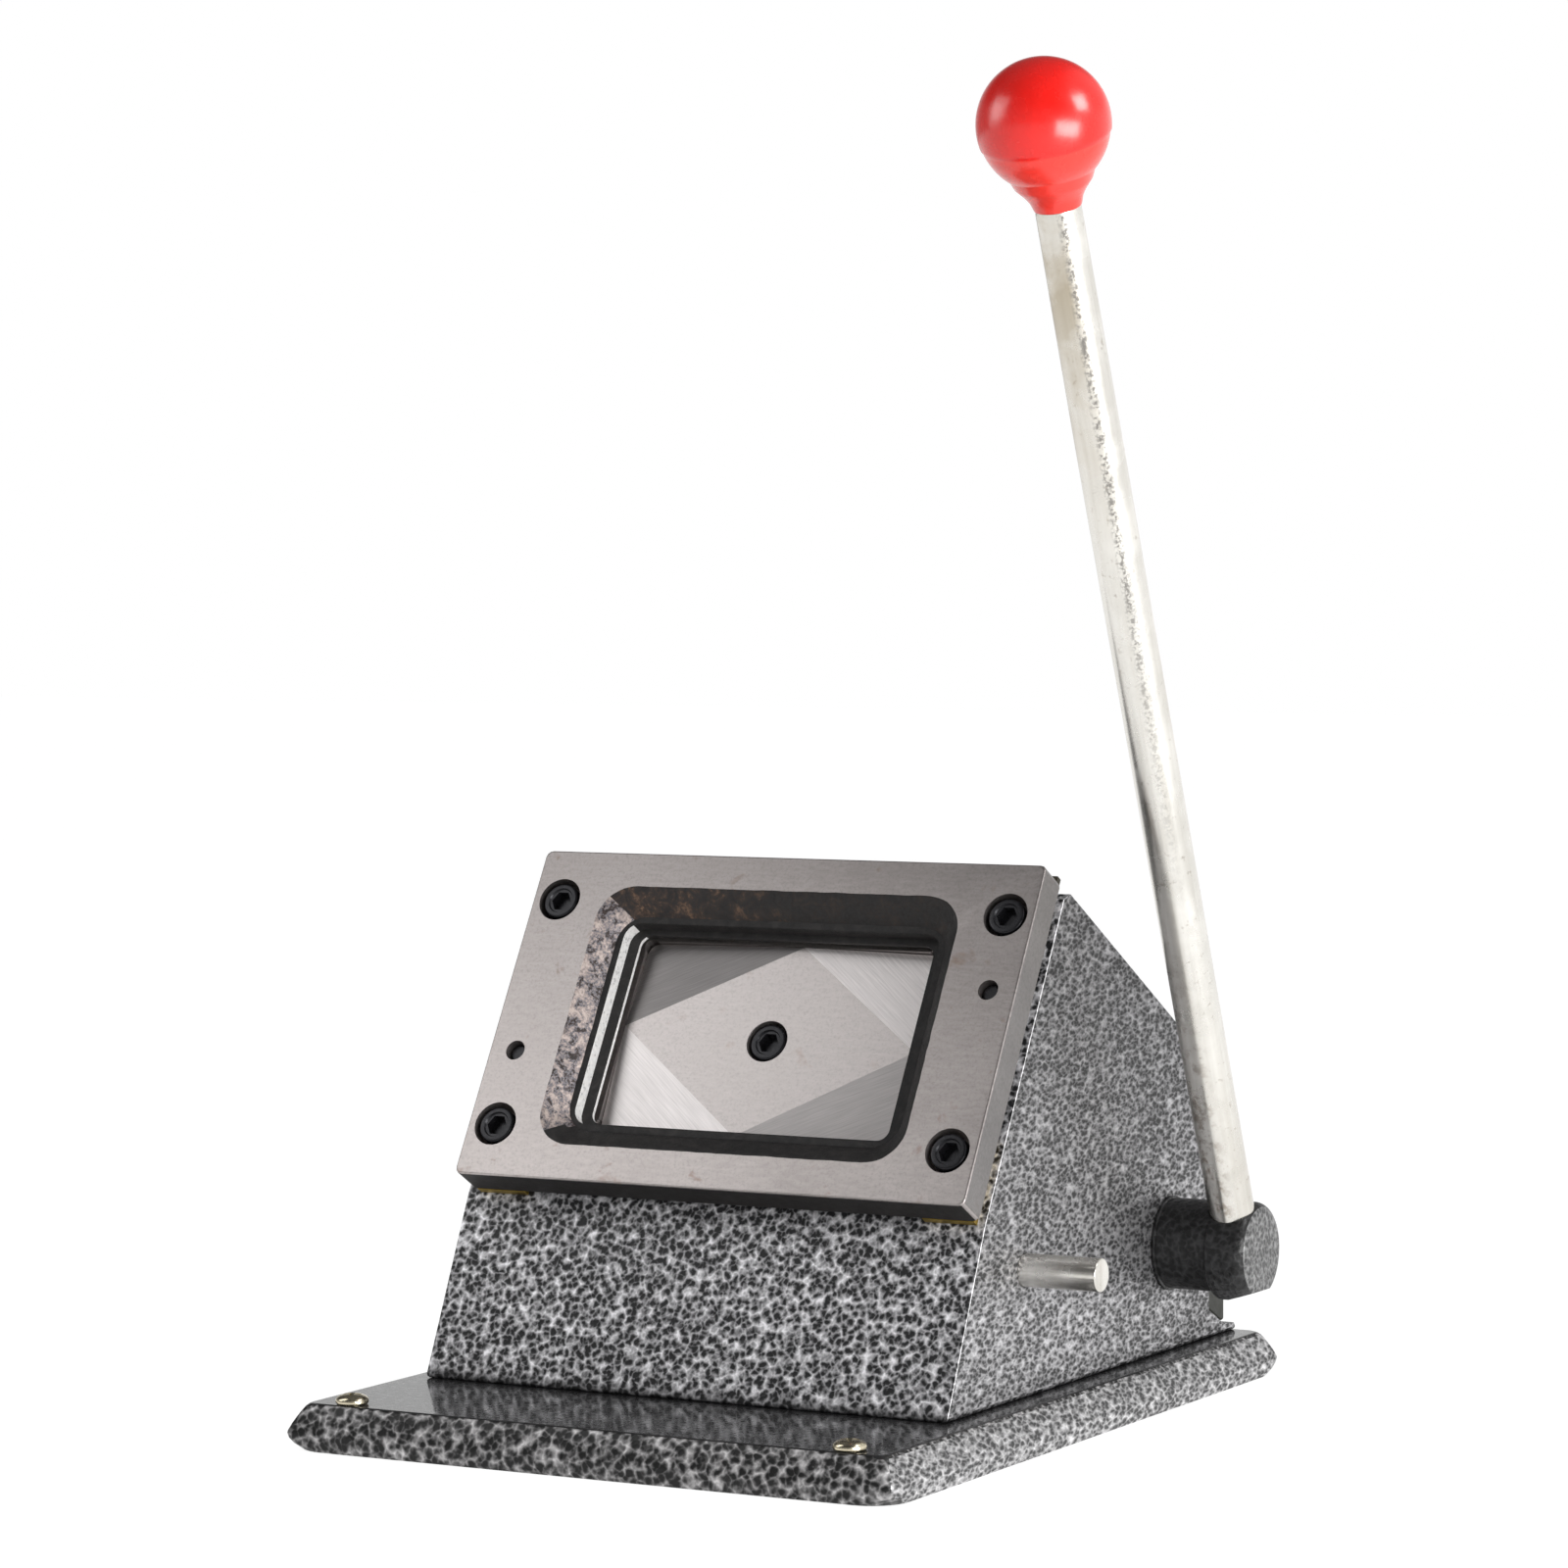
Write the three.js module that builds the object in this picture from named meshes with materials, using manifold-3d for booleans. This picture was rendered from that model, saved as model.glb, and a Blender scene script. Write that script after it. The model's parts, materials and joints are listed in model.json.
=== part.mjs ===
// Desk cutter for identity photos. A print goes into the slot under a sloping die plate, and a lever
// on the right side turns a cam that lifts a punch through the plate's window.
// Millimetres, +Z up, the front towards -Y, the origin under the middle of the base.
import * as THREE from 'three';
import { mergeVertices } from 'three/addons/utils/BufferGeometryUtils.js';
import Module from 'manifold-3d';

const wasm = await Module();
wasm.setup();

// Fits and cuts shared by every piece
const seatGap = 0.15;
const boreGap = 0.15;
const slideGap = 0.1;
const cutOver = 2;

// Facets on round shapes
const boreSteps = 20;
const shaftSteps = 24;
const smallSteps = 12;
const cornerSteps = 3;

// Card format that the punch cuts, which every width and length around it follows
const punchWidth = 86;
const punchLength = 54;
const punchCornerRadius = 3;
const punchGap = 0.15;

// Window above the cutting lip: straight relief, then a tapered pocket
const reliefSideMargin = 3.3;
const reliefEndMargin = 1.9;
const reliefCornerRadius = 4.5;
const reliefWidth = punchWidth + 2 * reliefSideMargin;
const reliefLength = punchLength + 2 * reliefEndMargin;
const pocketFloorSideMargin = 5.2;
const pocketFloorEndMargin = 3.7;
const pocketFloorRadius = 7.5;
const pocketFloorDepth = 5.3;
const pocketFloorWidth = punchWidth + 2 * pocketFloorSideMargin;
const pocketFloorLength = punchLength + 2 * pocketFloorEndMargin;
const pocketSideFlare = 4.8;
const pocketEndFlare = 6.3;
const pocketCornerRadius = 10;
const pocketWidth = pocketFloorWidth + 2 * pocketSideFlare;
const pocketLength = pocketFloorLength + 2 * pocketEndFlare;
const lipThickness = 1;

// Guide plate that the punch slides in, and the pocket it lies in
const guideSideMargin = 14;
const guideEndMargin = 11.3;
const guidePocketWidth = punchWidth + 2 * guideSideMargin;
const guidePocketLength = punchLength + 2 * guideEndMargin;
const guideThickness = 8;
const guideRelief = 2.2;
const guideScrewSideInset = 5;
const guideScrewEndInset = 6.8;
const guideScrewX = guidePocketWidth / 2 - guideScrewSideInset;
const guideScrewAcross = guidePocketLength / 2 - guideScrewEndInset;
const guideScrewRadius = 2;
const guideScrewHeadRadius = 3.4;
const guideScrewHeadHeight = 3.6;
const guideScrewTipShare = 0.9;

// Sloping die plate
const plateTilt = THREE.MathUtils.degToRad(60);
const plateCentreY = -30.7;
const plateCentreZ = 103.9;
const dieScrewFromPocket = 8.4;
const dieScrewSideInset = 8.1;
const dieScrewEndInset = 14.35;
const plateEndMargin = 8.45;
const dieScrewX = guidePocketWidth / 2 + dieScrewFromPocket;
const plateWidth = 2 * (dieScrewX + dieScrewSideInset);
const plateLength = guidePocketLength + 2 * plateEndMargin;
const dieScrewAcross = plateLength / 2 - dieScrewEndInset;
const plateThickness = 10;
const plateCornerCut = 1.8;
const plateEdgeBevel = 0.6;

// Socket screws and dowels of the die plate
const dieScrewRadius = 3;
const dieScrewHeadRadius = 4.9;
const dieScrewHeadHeight = 5.8;
const dieCounterboreGap = 1.1;
const headSink = 0.5;
const socketRadius = 2.9;
const socketDepth = 3;
const dowelStep = 0.3;
const dowelX = dieScrewX + dowelStep;
const dowelAcross = 11.5;
const dowelRadius = 2.6;
const dowelSink = 0.6;
const blindHoleFloor = 0.65;

// Slot for the print, kept open by brass shims under the corner screws
const slotHeight = 2.4;
const shimPastScrewX = 7.9;
const shimPastScrewAcross = 7.65;
const shimSideInset = 1.6;
const shimWidth = dieScrewSideInset + shimPastScrewX - shimSideInset;
const shimLength = dieScrewEndInset + shimPastScrewAcross;
const shimOverhang = 2;

// Housing
const housingSideStep = 0.5;
const housingWidth = plateWidth + 2 * housingSideStep;
const wall = 8;
const leftSideExtra = 1.8;
const frontFootY = -64.3;
const rimFrontStep = 0.15;
const rimBackStep = 0.45;
const rimFrontAcross = plateLength / 2 + rimFrontStep;
const rimBackAcross = plateLength / 2 - rimBackStep;
const rimCornerCut = 3;
const rearY = 92.6;
const toeTopHeight = 7.7;
const toeRootReach = 10.1;
const toeRootHeight = 2.6;
const toeTipHeight = 2.1;
const toeReach = 16.8;
const toeTipLean = 1.6;
const toeEnd = toeReach + toeTipLean;
const rearSillHeight = 20;
const ledgeSideMargin = 3.5;
const ledgeOpeningWidth = punchWidth + 2 * ledgeSideMargin;
const ledgeThickness = 7.5;
const gussetAcross = 5.7;

// Base plate
const baseSideMargin = 11;
const baseRearMargin = 4;
const baseWidth = housingWidth + 2 * baseSideMargin;
const baseLength = 2 * (rearY + toeEnd + baseRearMargin);
const baseThickness = 11.5;
const baseBottomInset = 0.7;
const baseBottomRadius = 10;
const baseEdgeHeight = 4;
const baseEdgeRadius = 2;
const baseShoulderHeight = 8;
const baseShoulderInset = 1;
const baseTopInset = 4;
const baseTopRadius = 3;

// Pan head screws at the front corners of the base
const baseScrewSideInset = 15;
const baseScrewFrontInset = 8;
const baseScrewX = baseWidth / 2 - baseScrewSideInset;
const baseScrewY = baseLength / 2 - baseScrewFrontInset;
const baseScrewRadius = 2.4;
const baseScrewHeadRadius = 4.15;
const baseScrewHeadHeight = 2.5;
const baseScrewHeadRim = 0.7;
const baseScrewTipHeight = 1.5;
const crossSlotWidth = 1;
const crossSlotLength = 4.6;
const crossSlotDepth = 1.5;

// Cap screws that hold the housing from under the base
const footScrewFrontInset = 24;
const footScrewRearInset = 12.6;
const footScrewFrontY = frontFootY + footScrewFrontInset;
const footScrewRearY = rearY - footScrewRearInset;
const footScrewRadius = 2.5;
const footScrewHeadRadius = 4.25;
const footScrewHeadHeight = 5;
const footScrewSink = 0.6;
const footScrewGrip = 15.5;
const footScrewTip = baseThickness + footScrewGrip;

// Punch with four corner facets ground below its middle, so that it cuts like shears
const punchRestDrop = 0.1;
const facetDrop = 1.8;
const facetTop = 3.8;
const facetRight = -1.2;
const facetBottom = -2.6;
const facetLeft = 2.5;
const punchScrewRadius = 3;
const punchScrewHeadRadius = 5;
const punchScrewHeadHeight = 6;
const punchCounterboreGap = 0.7;

// Ram plate behind the punch, on four guide posts with return springs
const ramSideGap = 5;
const ramEndGap = 5.3;
const ramWidth = housingWidth - 2 * (wall + ramSideGap);
const ramLength = guidePocketLength - 2 * ramEndGap;
const ramThickness = 14;
const ramCornerRadius = 3;
const ramHeadroom = 8.2;
const postEndInset = 13;
const postX = guideScrewX;
const postAcross = ramLength / 2 - postEndInset;
const postRadius = 3.5;
const postReach = 46;
const springBoreGap = 0.4;
const springBand = 2.5;
const springInnerRadius = postRadius + springBoreGap;
const springOuterRadius = springInnerRadius + springBand;
const springPocketDepth = 9.7;
const springPocketGap = 0.4;

// Lever shaft, its cam and the roller block on the ram
const shaftFromRear = 25.6;
const shaftHeight = 28.8;
const shaftY = rearY - shaftFromRear;
const shaftZ = baseThickness + shaftHeight;
const shaftRadius = 8;
const leverSwing = THREE.MathUtils.degToRad(58.5);
const punchTravel = 6;
const camPitchRadius = 30;
const camRearGap = 2.6;
const camBackRadius = shaftFromRear - wall - camRearGap;
const camLeadIn = THREE.MathUtils.degToRad(12);
const camRunOut = THREE.MathUtils.degToRad(12);
const camFlank = THREE.MathUtils.degToRad(24);
const camWidth = 16;
const camGap = 0.35;
const keyWidth = 5;
const keyHeight = 5;
const keyEndInset = 1;
const keyLength = camWidth - 2 * keyEndInset;
const rollerRadius = 8;
const rollerPinRadius = 4;
const cheekThickness = 8;
const cheekGap = 0.4;
const cheekInner = camWidth / 2 + cheekGap;
const cheekOuter = cheekInner + cheekThickness;
const blockLength = 24;
const blockEnd = 7.4;
const blockScrewInset = 5.4;
const blockScrewX = cheekOuter - blockScrewInset;
const blockScrewRadius = 2.5;
const blockScrewHeadRadius = 4.2;
const blockScrewHeadHeight = 5;
const blockScrewReach = 12;

// Shaft bushes and the collar on the left end
const bushRadius = 10.5;
const bushFlangeRadius = 13.5;
const bushFlangeThickness = 3;
const collarRadius = 13;
const collarWidth = 6;
const collarBevel = 1;
const shaftPastCollar = 1;

// Lever: hub, rod and ball
const leverLean = THREE.MathUtils.degToRad(22.5);
const leverLength = 309.3;
const barrelRadius = 12;
const barrelLength = 15;
const headRadius = 13.1;
const headDrop = 1;
const headNoseRadius = 10;
const headNoseLength = 3.2;
const headShoulder = 0.8;
const headEndWall = 2.4;
const headFacetStart = 2.6;
const headFacetRise = 4;
const hubBoreWall = 1.7;
const shaftEndGap = 0.5;
const rodFromBarrel = 4.7;
const rodRadius = 6;
const rodFoot = 5;
const studRadius = 4;
const studReach = 3;
const ballRadius = 16.5;
const neckReach = 20.9;
const neckRootRadius = 8.6;
const neckEndRadius = 6.1;
const hubScrewInset = 6.2;
const hubScrewRadius = 3;
const hubScrewSocketRadius = 1.7;
const hubScrewSocketDepth = 1.6;

// Stop pin that the rod comes down on
const stopPinReach = 87.9;
const stopPinRise = 3.5;
const stopPinY = shaftY - stopPinReach;
const stopPinZ = shaftZ + stopPinRise;
const stopPinRadius = 4.2;
const stopPinPastRod = 1.5;
const stopPinBevel = 0.3;

// Rear cover and its screws
const coverThickness = 12.5;
const coverEdgeInset = 1;
const coverToeGap = 0.6;
const coverTopInset = 2.2;
const coverBevel = 1;
const coverScrewBottomInset = 21.3;
const coverScrewTopInset = 11;
const coverScrewRadius = 2;
const coverScrewHeadRadius = 3.6;
const coverScrewHeadHeight = 2;
const coverScrewReach = 12;

// Depths under the front face of the die plate, measured square to it
const lipTopDepth = plateThickness - lipThickness;
const rimDepth = plateThickness + slotHeight;
const guideFloorDepth = rimDepth + guideThickness + seatGap;
const ledgeFloorDepth = guideFloorDepth + ledgeThickness;
const blindTipDepth = ledgeFloorDepth - blindHoleFloor;
const punchFaceDepth = rimDepth - punchRestDrop;
const ramTopDepth = ledgeFloorDepth + ramHeadroom;
const ramFloorDepth = ramTopDepth + ramThickness;
const punchHeight = ramTopDepth - seatGap - punchFaceDepth;

// Places from side to side that follow from the housing
const sideOuterX = housingWidth / 2;
const leftOuterX = sideOuterX + leftSideExtra;
const sideInnerX = sideOuterX - wall;
const wallMiddleX = sideOuterX - wall / 2;
const barrelEnd = sideOuterX + barrelLength;
const rodX = barrelEnd + rodFromBarrel;
const headEnd = rodX + rodRadius + headEndWall;
const hubBoreEnd = rodX - rodRadius - hubBoreWall;
const hubScrewX = sideOuterX + hubScrewInset;
const shaftRightEnd = hubBoreEnd - shaftEndGap;
const shaftLeftEnd = leftOuterX + collarWidth + shaftPastCollar;
const stopPinEnd = rodX + stopPinPastRod;

// The slope in the side view: along it, and straight down into the housing
const slopeAlong = new THREE.Vector2(Math.cos(plateTilt), Math.sin(plateTilt));
const slopeInward = new THREE.Vector2(Math.sin(plateTilt), -Math.cos(plateTilt));
const plateCentre = new THREE.Vector2(plateCentreY, plateCentreZ);
const shaftFromPlate = new THREE.Vector2(shaftY, shaftZ).sub(plateCentre);
const shaftAcross = shaftFromPlate.dot(slopeAlong);
const shaftDepth = shaftFromPlate.dot(slopeInward);

// Heights of the rear cover, between the toe and the slope
const coverBottom = baseThickness + toeRootHeight + coverToeGap;
const coverTop = onSlopeAtY(rimBackAcross, rearY).y - coverTopInset;
const coverScrewLowZ = coverBottom + coverScrewBottomInset;
const coverScrewHighZ = coverTop - coverScrewTopInset;

// Finishes
const finishes = {
  hammertone: { color: 0x8a888a, roughness: 0.45, metalness: 0.4 },
  hammertoneBlack: { color: 0x2a2829, roughness: 0.4, metalness: 0.4 },
  toolSteel: { color: 0x8d8683, roughness: 0.45, metalness: 0.85 },
  groundSteel: { color: 0xb4b0ac, roughness: 0.3, metalness: 0.95 },
  darkSteel: { color: 0x3a3a3c, roughness: 0.5, metalness: 0.8 },
  nickel: { color: 0xd9d2c4, roughness: 0.2, metalness: 1 },
  brass: { color: 0xb08d45, roughness: 0.4, metalness: 0.95 },
  bronze: { color: 0x9c6b3c, roughness: 0.45, metalness: 0.9 },
  springSteel: { color: 0x55575c, roughness: 0.4, metalness: 0.9 },
  olivePaint: { color: 0x3d3f33, roughness: 0.6, metalness: 0.2 },
  redPlastic: { color: 0xd81f1a, roughness: 0.15, metalness: 0 },
};

// One closed body: shared vertices merged, flat slivers dropped, faces pointing out
function closed(source) {
  const bare = source.clone();
  bare.deleteAttribute('normal');
  bare.deleteAttribute('uv');
  const merged = mergeVertices(bare);
  const at = merged.attributes.position;
  const corner = (i) => new THREE.Vector3().fromBufferAttribute(at, i);
  const faces = [];
  let volume = 0;
  for (let i = 0; i < merged.index.count; i += 3) {
    const [a, b, c] = [0, 1, 2].map((k) => merged.index.getX(i + k));
    if (a !== b && b !== c && c !== a) {
      faces.push([a, b, c]);
      volume += corner(a).dot(corner(b).cross(corner(c)));
    }
  }
  merged.setIndex(faces.flatMap(([a, b, c]) => (volume < 0 ? [a, c, b] : [a, b, c])));
  return merged;
}

function toSolid(geometry) {
  const shell = closed(geometry);
  return new wasm.Manifold(new wasm.Mesh({
    numProp: 3,
    vertProperties: shell.attributes.position.array,
    triVerts: new Uint32Array(shell.index.array),
  }));
}

function toGeometry(solid) {
  const mesh = solid.getMesh();
  const geometry = new THREE.BufferGeometry();
  geometry.setAttribute('position', new THREE.BufferAttribute(new Float32Array(mesh.vertProperties), 3));
  geometry.setIndex(Array.from(mesh.triVerts));
  return geometry;
}

function cut(body, tools) {
  return toGeometry(tools.reduce((rest, tool) => rest.subtract(toSolid(tool)), toSolid(body)));
}

function join(pieces) {
  const [first, ...others] = pieces.map(toSolid);
  return toGeometry(others.reduce((sum, piece) => sum.add(piece), first));
}

// A closed body through outlines of equal point count, each at its own height
function stack(outlines, heights) {
  const count = outlines[0].length;
  const positions = outlines.flatMap((outline, level) => outline.flatMap((p) => [p.x, p.y, heights[level]]));
  const indices = [];
  outlines.slice(1).forEach((_, level) => {
    const low = level * count;
    const high = low + count;
    for (let i = 0; i < count; i += 1) {
      const next = (i + 1) % count;
      indices.push(low + i, low + next, high + next);
      indices.push(low + i, high + next, high + i);
    }
  });
  const top = (outlines.length - 1) * count;
  THREE.ShapeUtils.triangulateShape(outlines[0], []).forEach(([a, b, c]) => indices.push(a, c, b));
  THREE.ShapeUtils.triangulateShape(outlines.at(-1), []).forEach(([a, b, c]) => {
    indices.push(top + a, top + b, top + c);
  });
  const geometry = new THREE.BufferGeometry();
  geometry.setAttribute('position', new THREE.Float32BufferAttribute(positions, 3));
  geometry.setIndex(indices);
  return geometry;
}

function prism(outline, low, high) {
  return stack([outline, outline], [low, high]);
}

function roundedRectangle(width, length, radius, steps = cornerSteps) {
  const corners = [[1, 1], [-1, 1], [-1, -1], [1, -1]];
  return corners.flatMap(([sx, sy], quarter) => Array.from({ length: steps + 1 }, (_, i) => {
    const angle = ((quarter + i / steps) * Math.PI) / 2;
    return new THREE.Vector2(
      sx * (width / 2 - radius) + radius * Math.cos(angle),
      sy * (length / 2 - radius) + radius * Math.sin(angle),
    );
  }));
}

function polygon(sides, radius) {
  return Array.from({ length: sides }, (_, i) => {
    const angle = (i * 2 * Math.PI) / sides;
    return new THREE.Vector2(radius * Math.cos(angle), radius * Math.sin(angle));
  });
}

function block(low, high) {
  const middle = low.clone().add(high).divideScalar(2);
  const size = high.clone().sub(low);
  return new THREE.BoxGeometry(size.x, size.y, size.z).translate(middle.x, middle.y, middle.z);
}

// A turned piece about Z from [radius, height] pairs
function turned(profile, steps = boreSteps) {
  const points = profile.map(([radius, height]) => new THREE.Vector2(radius, height));
  return new THREE.LatheGeometry(points, steps).rotateX(Math.PI / 2);
}

function cylinder(radius, low, high, steps = boreSteps) {
  return turned([[0, low], [radius, low], [radius, high], [0, high]], steps);
}

function tube(inner, outer, low, high, steps = boreSteps) {
  return turned([[inner, low], [outer, low], [outer, high], [inner, high], [inner, low]], steps);
}

// Turns a body so that its Z axis lies along X and its XY outline becomes the side view
const sideways = new THREE.Matrix4().makeBasis(
  new THREE.Vector3(0, 1, 0),
  new THREE.Vector3(0, 0, 1),
  new THREE.Vector3(1, 0, 0),
);

function alongX(geometry) {
  return geometry.applyMatrix4(sideways);
}

function moved(geometry, x, y, z) {
  return geometry.translate(x, y, z);
}

const cutter = new THREE.Group();

const slope = new THREE.Group();
slope.position.set(0, plateCentreY, plateCentreZ);
slope.rotation.x = plateTilt;
slope.updateMatrix();
cutter.add(slope);

const turning = new THREE.Group();
turning.position.set(0, shaftY, shaftZ);
turning.rotation.x = plateTilt;
cutter.add(turning);

const lever = new THREE.Group();
lever.position.set(0, shaftY, shaftZ);
lever.rotation.x = leverLean;
cutter.add(lever);

function addPart(parent, name, finish, geometry) {
  const mesh = new THREE.Mesh(closed(geometry), new THREE.MeshStandardMaterial(finishes[finish]));
  mesh.name = name;
  parent.add(mesh);
  return mesh;
}

// Calls make(x sign, y sign, number) for the four corners
function atCorners(make) {
  return [[-1, 1], [1, 1], [-1, -1], [1, -1]].map(([sx, sy], i) => make(sx, sy, i + 1));
}

// A socket cap screw about Z with its head top at the height given and its tip below
function capScrew(radius, headRadius, headHeight, top, tip, socket = socketRadius, sink = socketDepth) {
  const under = top - headHeight;
  const body = turned([[0, tip], [radius, tip], [radius, under], [headRadius, under], [headRadius, top], [0, top]]);
  return cut(body, [prism(polygon(6, socket), top - sink, top + cutOver)]);
}

// Its hole: a counterbore for the head and a bore for the shank
function capScrewHole(radius, headRadius, headFloor, tip, gap) {
  return join([
    cylinder(radius + boreGap, tip - cutOver, headFloor + seatGap),
    cylinder(headRadius + gap, headFloor, headFloor + plateThickness + cutOver),
  ]);
}

// Base plate
function basePlate() {
  const level = (inset, radius) => roundedRectangle(
    baseWidth - 2 * inset,
    baseLength - 2 * inset,
    radius,
  );
  const body = stack(
    [
      level(baseBottomInset, baseBottomRadius),
      level(0, baseEdgeRadius),
      level(baseShoulderInset, baseEdgeRadius),
      level(baseTopInset, baseTopRadius),
    ],
    [0, baseEdgeHeight, baseShoulderHeight, baseThickness],
  );
  const frontHoles = [-1, 1].map((side) => moved(
    cylinder(baseScrewRadius + boreGap, -cutOver, baseThickness + cutOver, smallSteps),
    side * baseScrewX,
    -baseScrewY,
    0,
  ));
  const footHoles = footScrewPlaces().map(([x, y]) => moved(join([
    cylinder(footScrewRadius + boreGap, -cutOver, baseThickness + cutOver, smallSteps),
    cylinder(
      footScrewHeadRadius + boreGap,
      -cutOver,
      footScrewSink + footScrewHeadHeight + seatGap,
      smallSteps,
    ),
  ]), x, y, 0));
  addPart(cutter, 'base_plate', 'hammertone', cut(body, [...frontHoles, ...footHoles]));
}

function footScrewPlaces() {
  return [
    [-wallMiddleX, footScrewFrontY],
    [wallMiddleX, footScrewFrontY],
    [-wallMiddleX, footScrewRearY],
    [wallMiddleX, footScrewRearY],
  ];
}

function baseScrews() {
  const domeSteps = 5;
  const dome = Array.from({ length: domeSteps + 1 }, (_, i) => {
    const angle = (i * Math.PI) / 2 / domeSteps;
    const rise = baseScrewHeadHeight - baseScrewHeadRim;
    return [
      baseScrewHeadRadius * Math.cos(angle),
      baseThickness + seatGap + baseScrewHeadRim + rise * Math.sin(angle),
    ];
  });
  dome[domeSteps][0] = 0;
  const under = baseThickness + seatGap;
  const top = under + baseScrewHeadHeight;
  [-1, 1].forEach((side, i) => {
    const body = turned([
      [0, baseScrewTipHeight],
      [baseScrewRadius, baseScrewTipHeight],
      [baseScrewRadius, under],
      [baseScrewHeadRadius, under],
      ...dome,
    ]);
    const slots = [[crossSlotLength, crossSlotWidth], [crossSlotWidth, crossSlotLength]].map(([x, y]) => block(
      new THREE.Vector3(-x / 2, -y / 2, top - crossSlotDepth),
      new THREE.Vector3(x / 2, y / 2, top + cutOver),
    ));
    addPart(cutter, `base_screw_${i + 1}`, 'nickel', cut(body, slots))
      .position.set(side * baseScrewX, -baseScrewY, 0);
  });
}

function footScrews() {
  footScrewPlaces().forEach(([x, y], i) => {
    const screw = capScrew(
      footScrewRadius,
      footScrewHeadRadius,
      footScrewHeadHeight,
      footScrewHeadHeight,
      footScrewHeadHeight + footScrewSink - footScrewTip,
    );
    const mesh = addPart(cutter, `foot_screw_${i + 1}`, 'darkSteel', screw);
    mesh.position.set(x, y, footScrewSink + footScrewHeadHeight);
    mesh.rotation.x = Math.PI;
  });
}

// Housing, drawn in the side view and extruded from side to side
function onSlope(across, depth) {
  return plateCentre.clone().addScaledVector(slopeAlong, across).addScaledVector(slopeInward, depth);
}

function onSlopeAtY(across, y) {
  const rise = (across - (y - plateCentreY) * slopeAlong.x) / slopeAlong.y;
  return new THREE.Vector2(y, plateCentreZ + rise);
}

const frontLow = new THREE.Vector2(frontFootY, baseThickness);
const frontHigh = onSlope(-rimFrontAcross, rimDepth);
const frontRun = frontHigh.clone().sub(frontLow).normalize();
const frontInward = new THREE.Vector2(frontRun.y, -frontRun.x);

// The inner face of the front wall, at a distance along it from its upper end
function frontInner(run) {
  return frontHigh.clone().addScaledVector(frontInward, wall).addScaledVector(frontRun, run);
}

// The upper side of the toe from its tip to the rear wall, with a gap above it
function toeLine(gap) {
  return [
    new THREE.Vector2(rearY + toeReach, baseThickness + toeTipHeight + gap),
    new THREE.Vector2(rearY + toeRootReach, baseThickness + toeRootHeight + gap),
    new THREE.Vector2(rearY, baseThickness + toeTopHeight + gap),
  ];
}

function housingOutline() {
  return [
    frontLow,
    new THREE.Vector2(rearY + toeEnd, baseThickness),
    ...toeLine(0),
    onSlopeAtY(rimBackAcross, rearY),
    onSlope(rimBackAcross, rimDepth + rimCornerCut),
    onSlope(rimBackAcross - rimCornerCut, rimDepth),
    frontHigh,
  ];
}

function cavityOutline() {
  const pocketHalf = guidePocketLength / 2;
  const start = frontInner(0);
  const underRim = (-pocketHalf - gussetAcross - start.clone().sub(plateCentre).dot(slopeAlong))
    / frontRun.dot(slopeAlong);
  const toFloor = (baseThickness - cutOver - start.y) / frontRun.y;
  return [
    frontInner(toFloor),
    new THREE.Vector2(rearY - wall, baseThickness - cutOver),
    new THREE.Vector2(rearY - wall, baseThickness + rearSillHeight),
    new THREE.Vector2(rearY + cutOver, baseThickness + rearSillHeight),
    onSlopeAtY(rimBackAcross - wall, rearY + cutOver),
    onSlope(rimBackAcross - wall, ledgeFloorDepth),
    onSlope(-pocketHalf, ledgeFloorDepth),
    frontInner(underRim),
  ];
}

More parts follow.
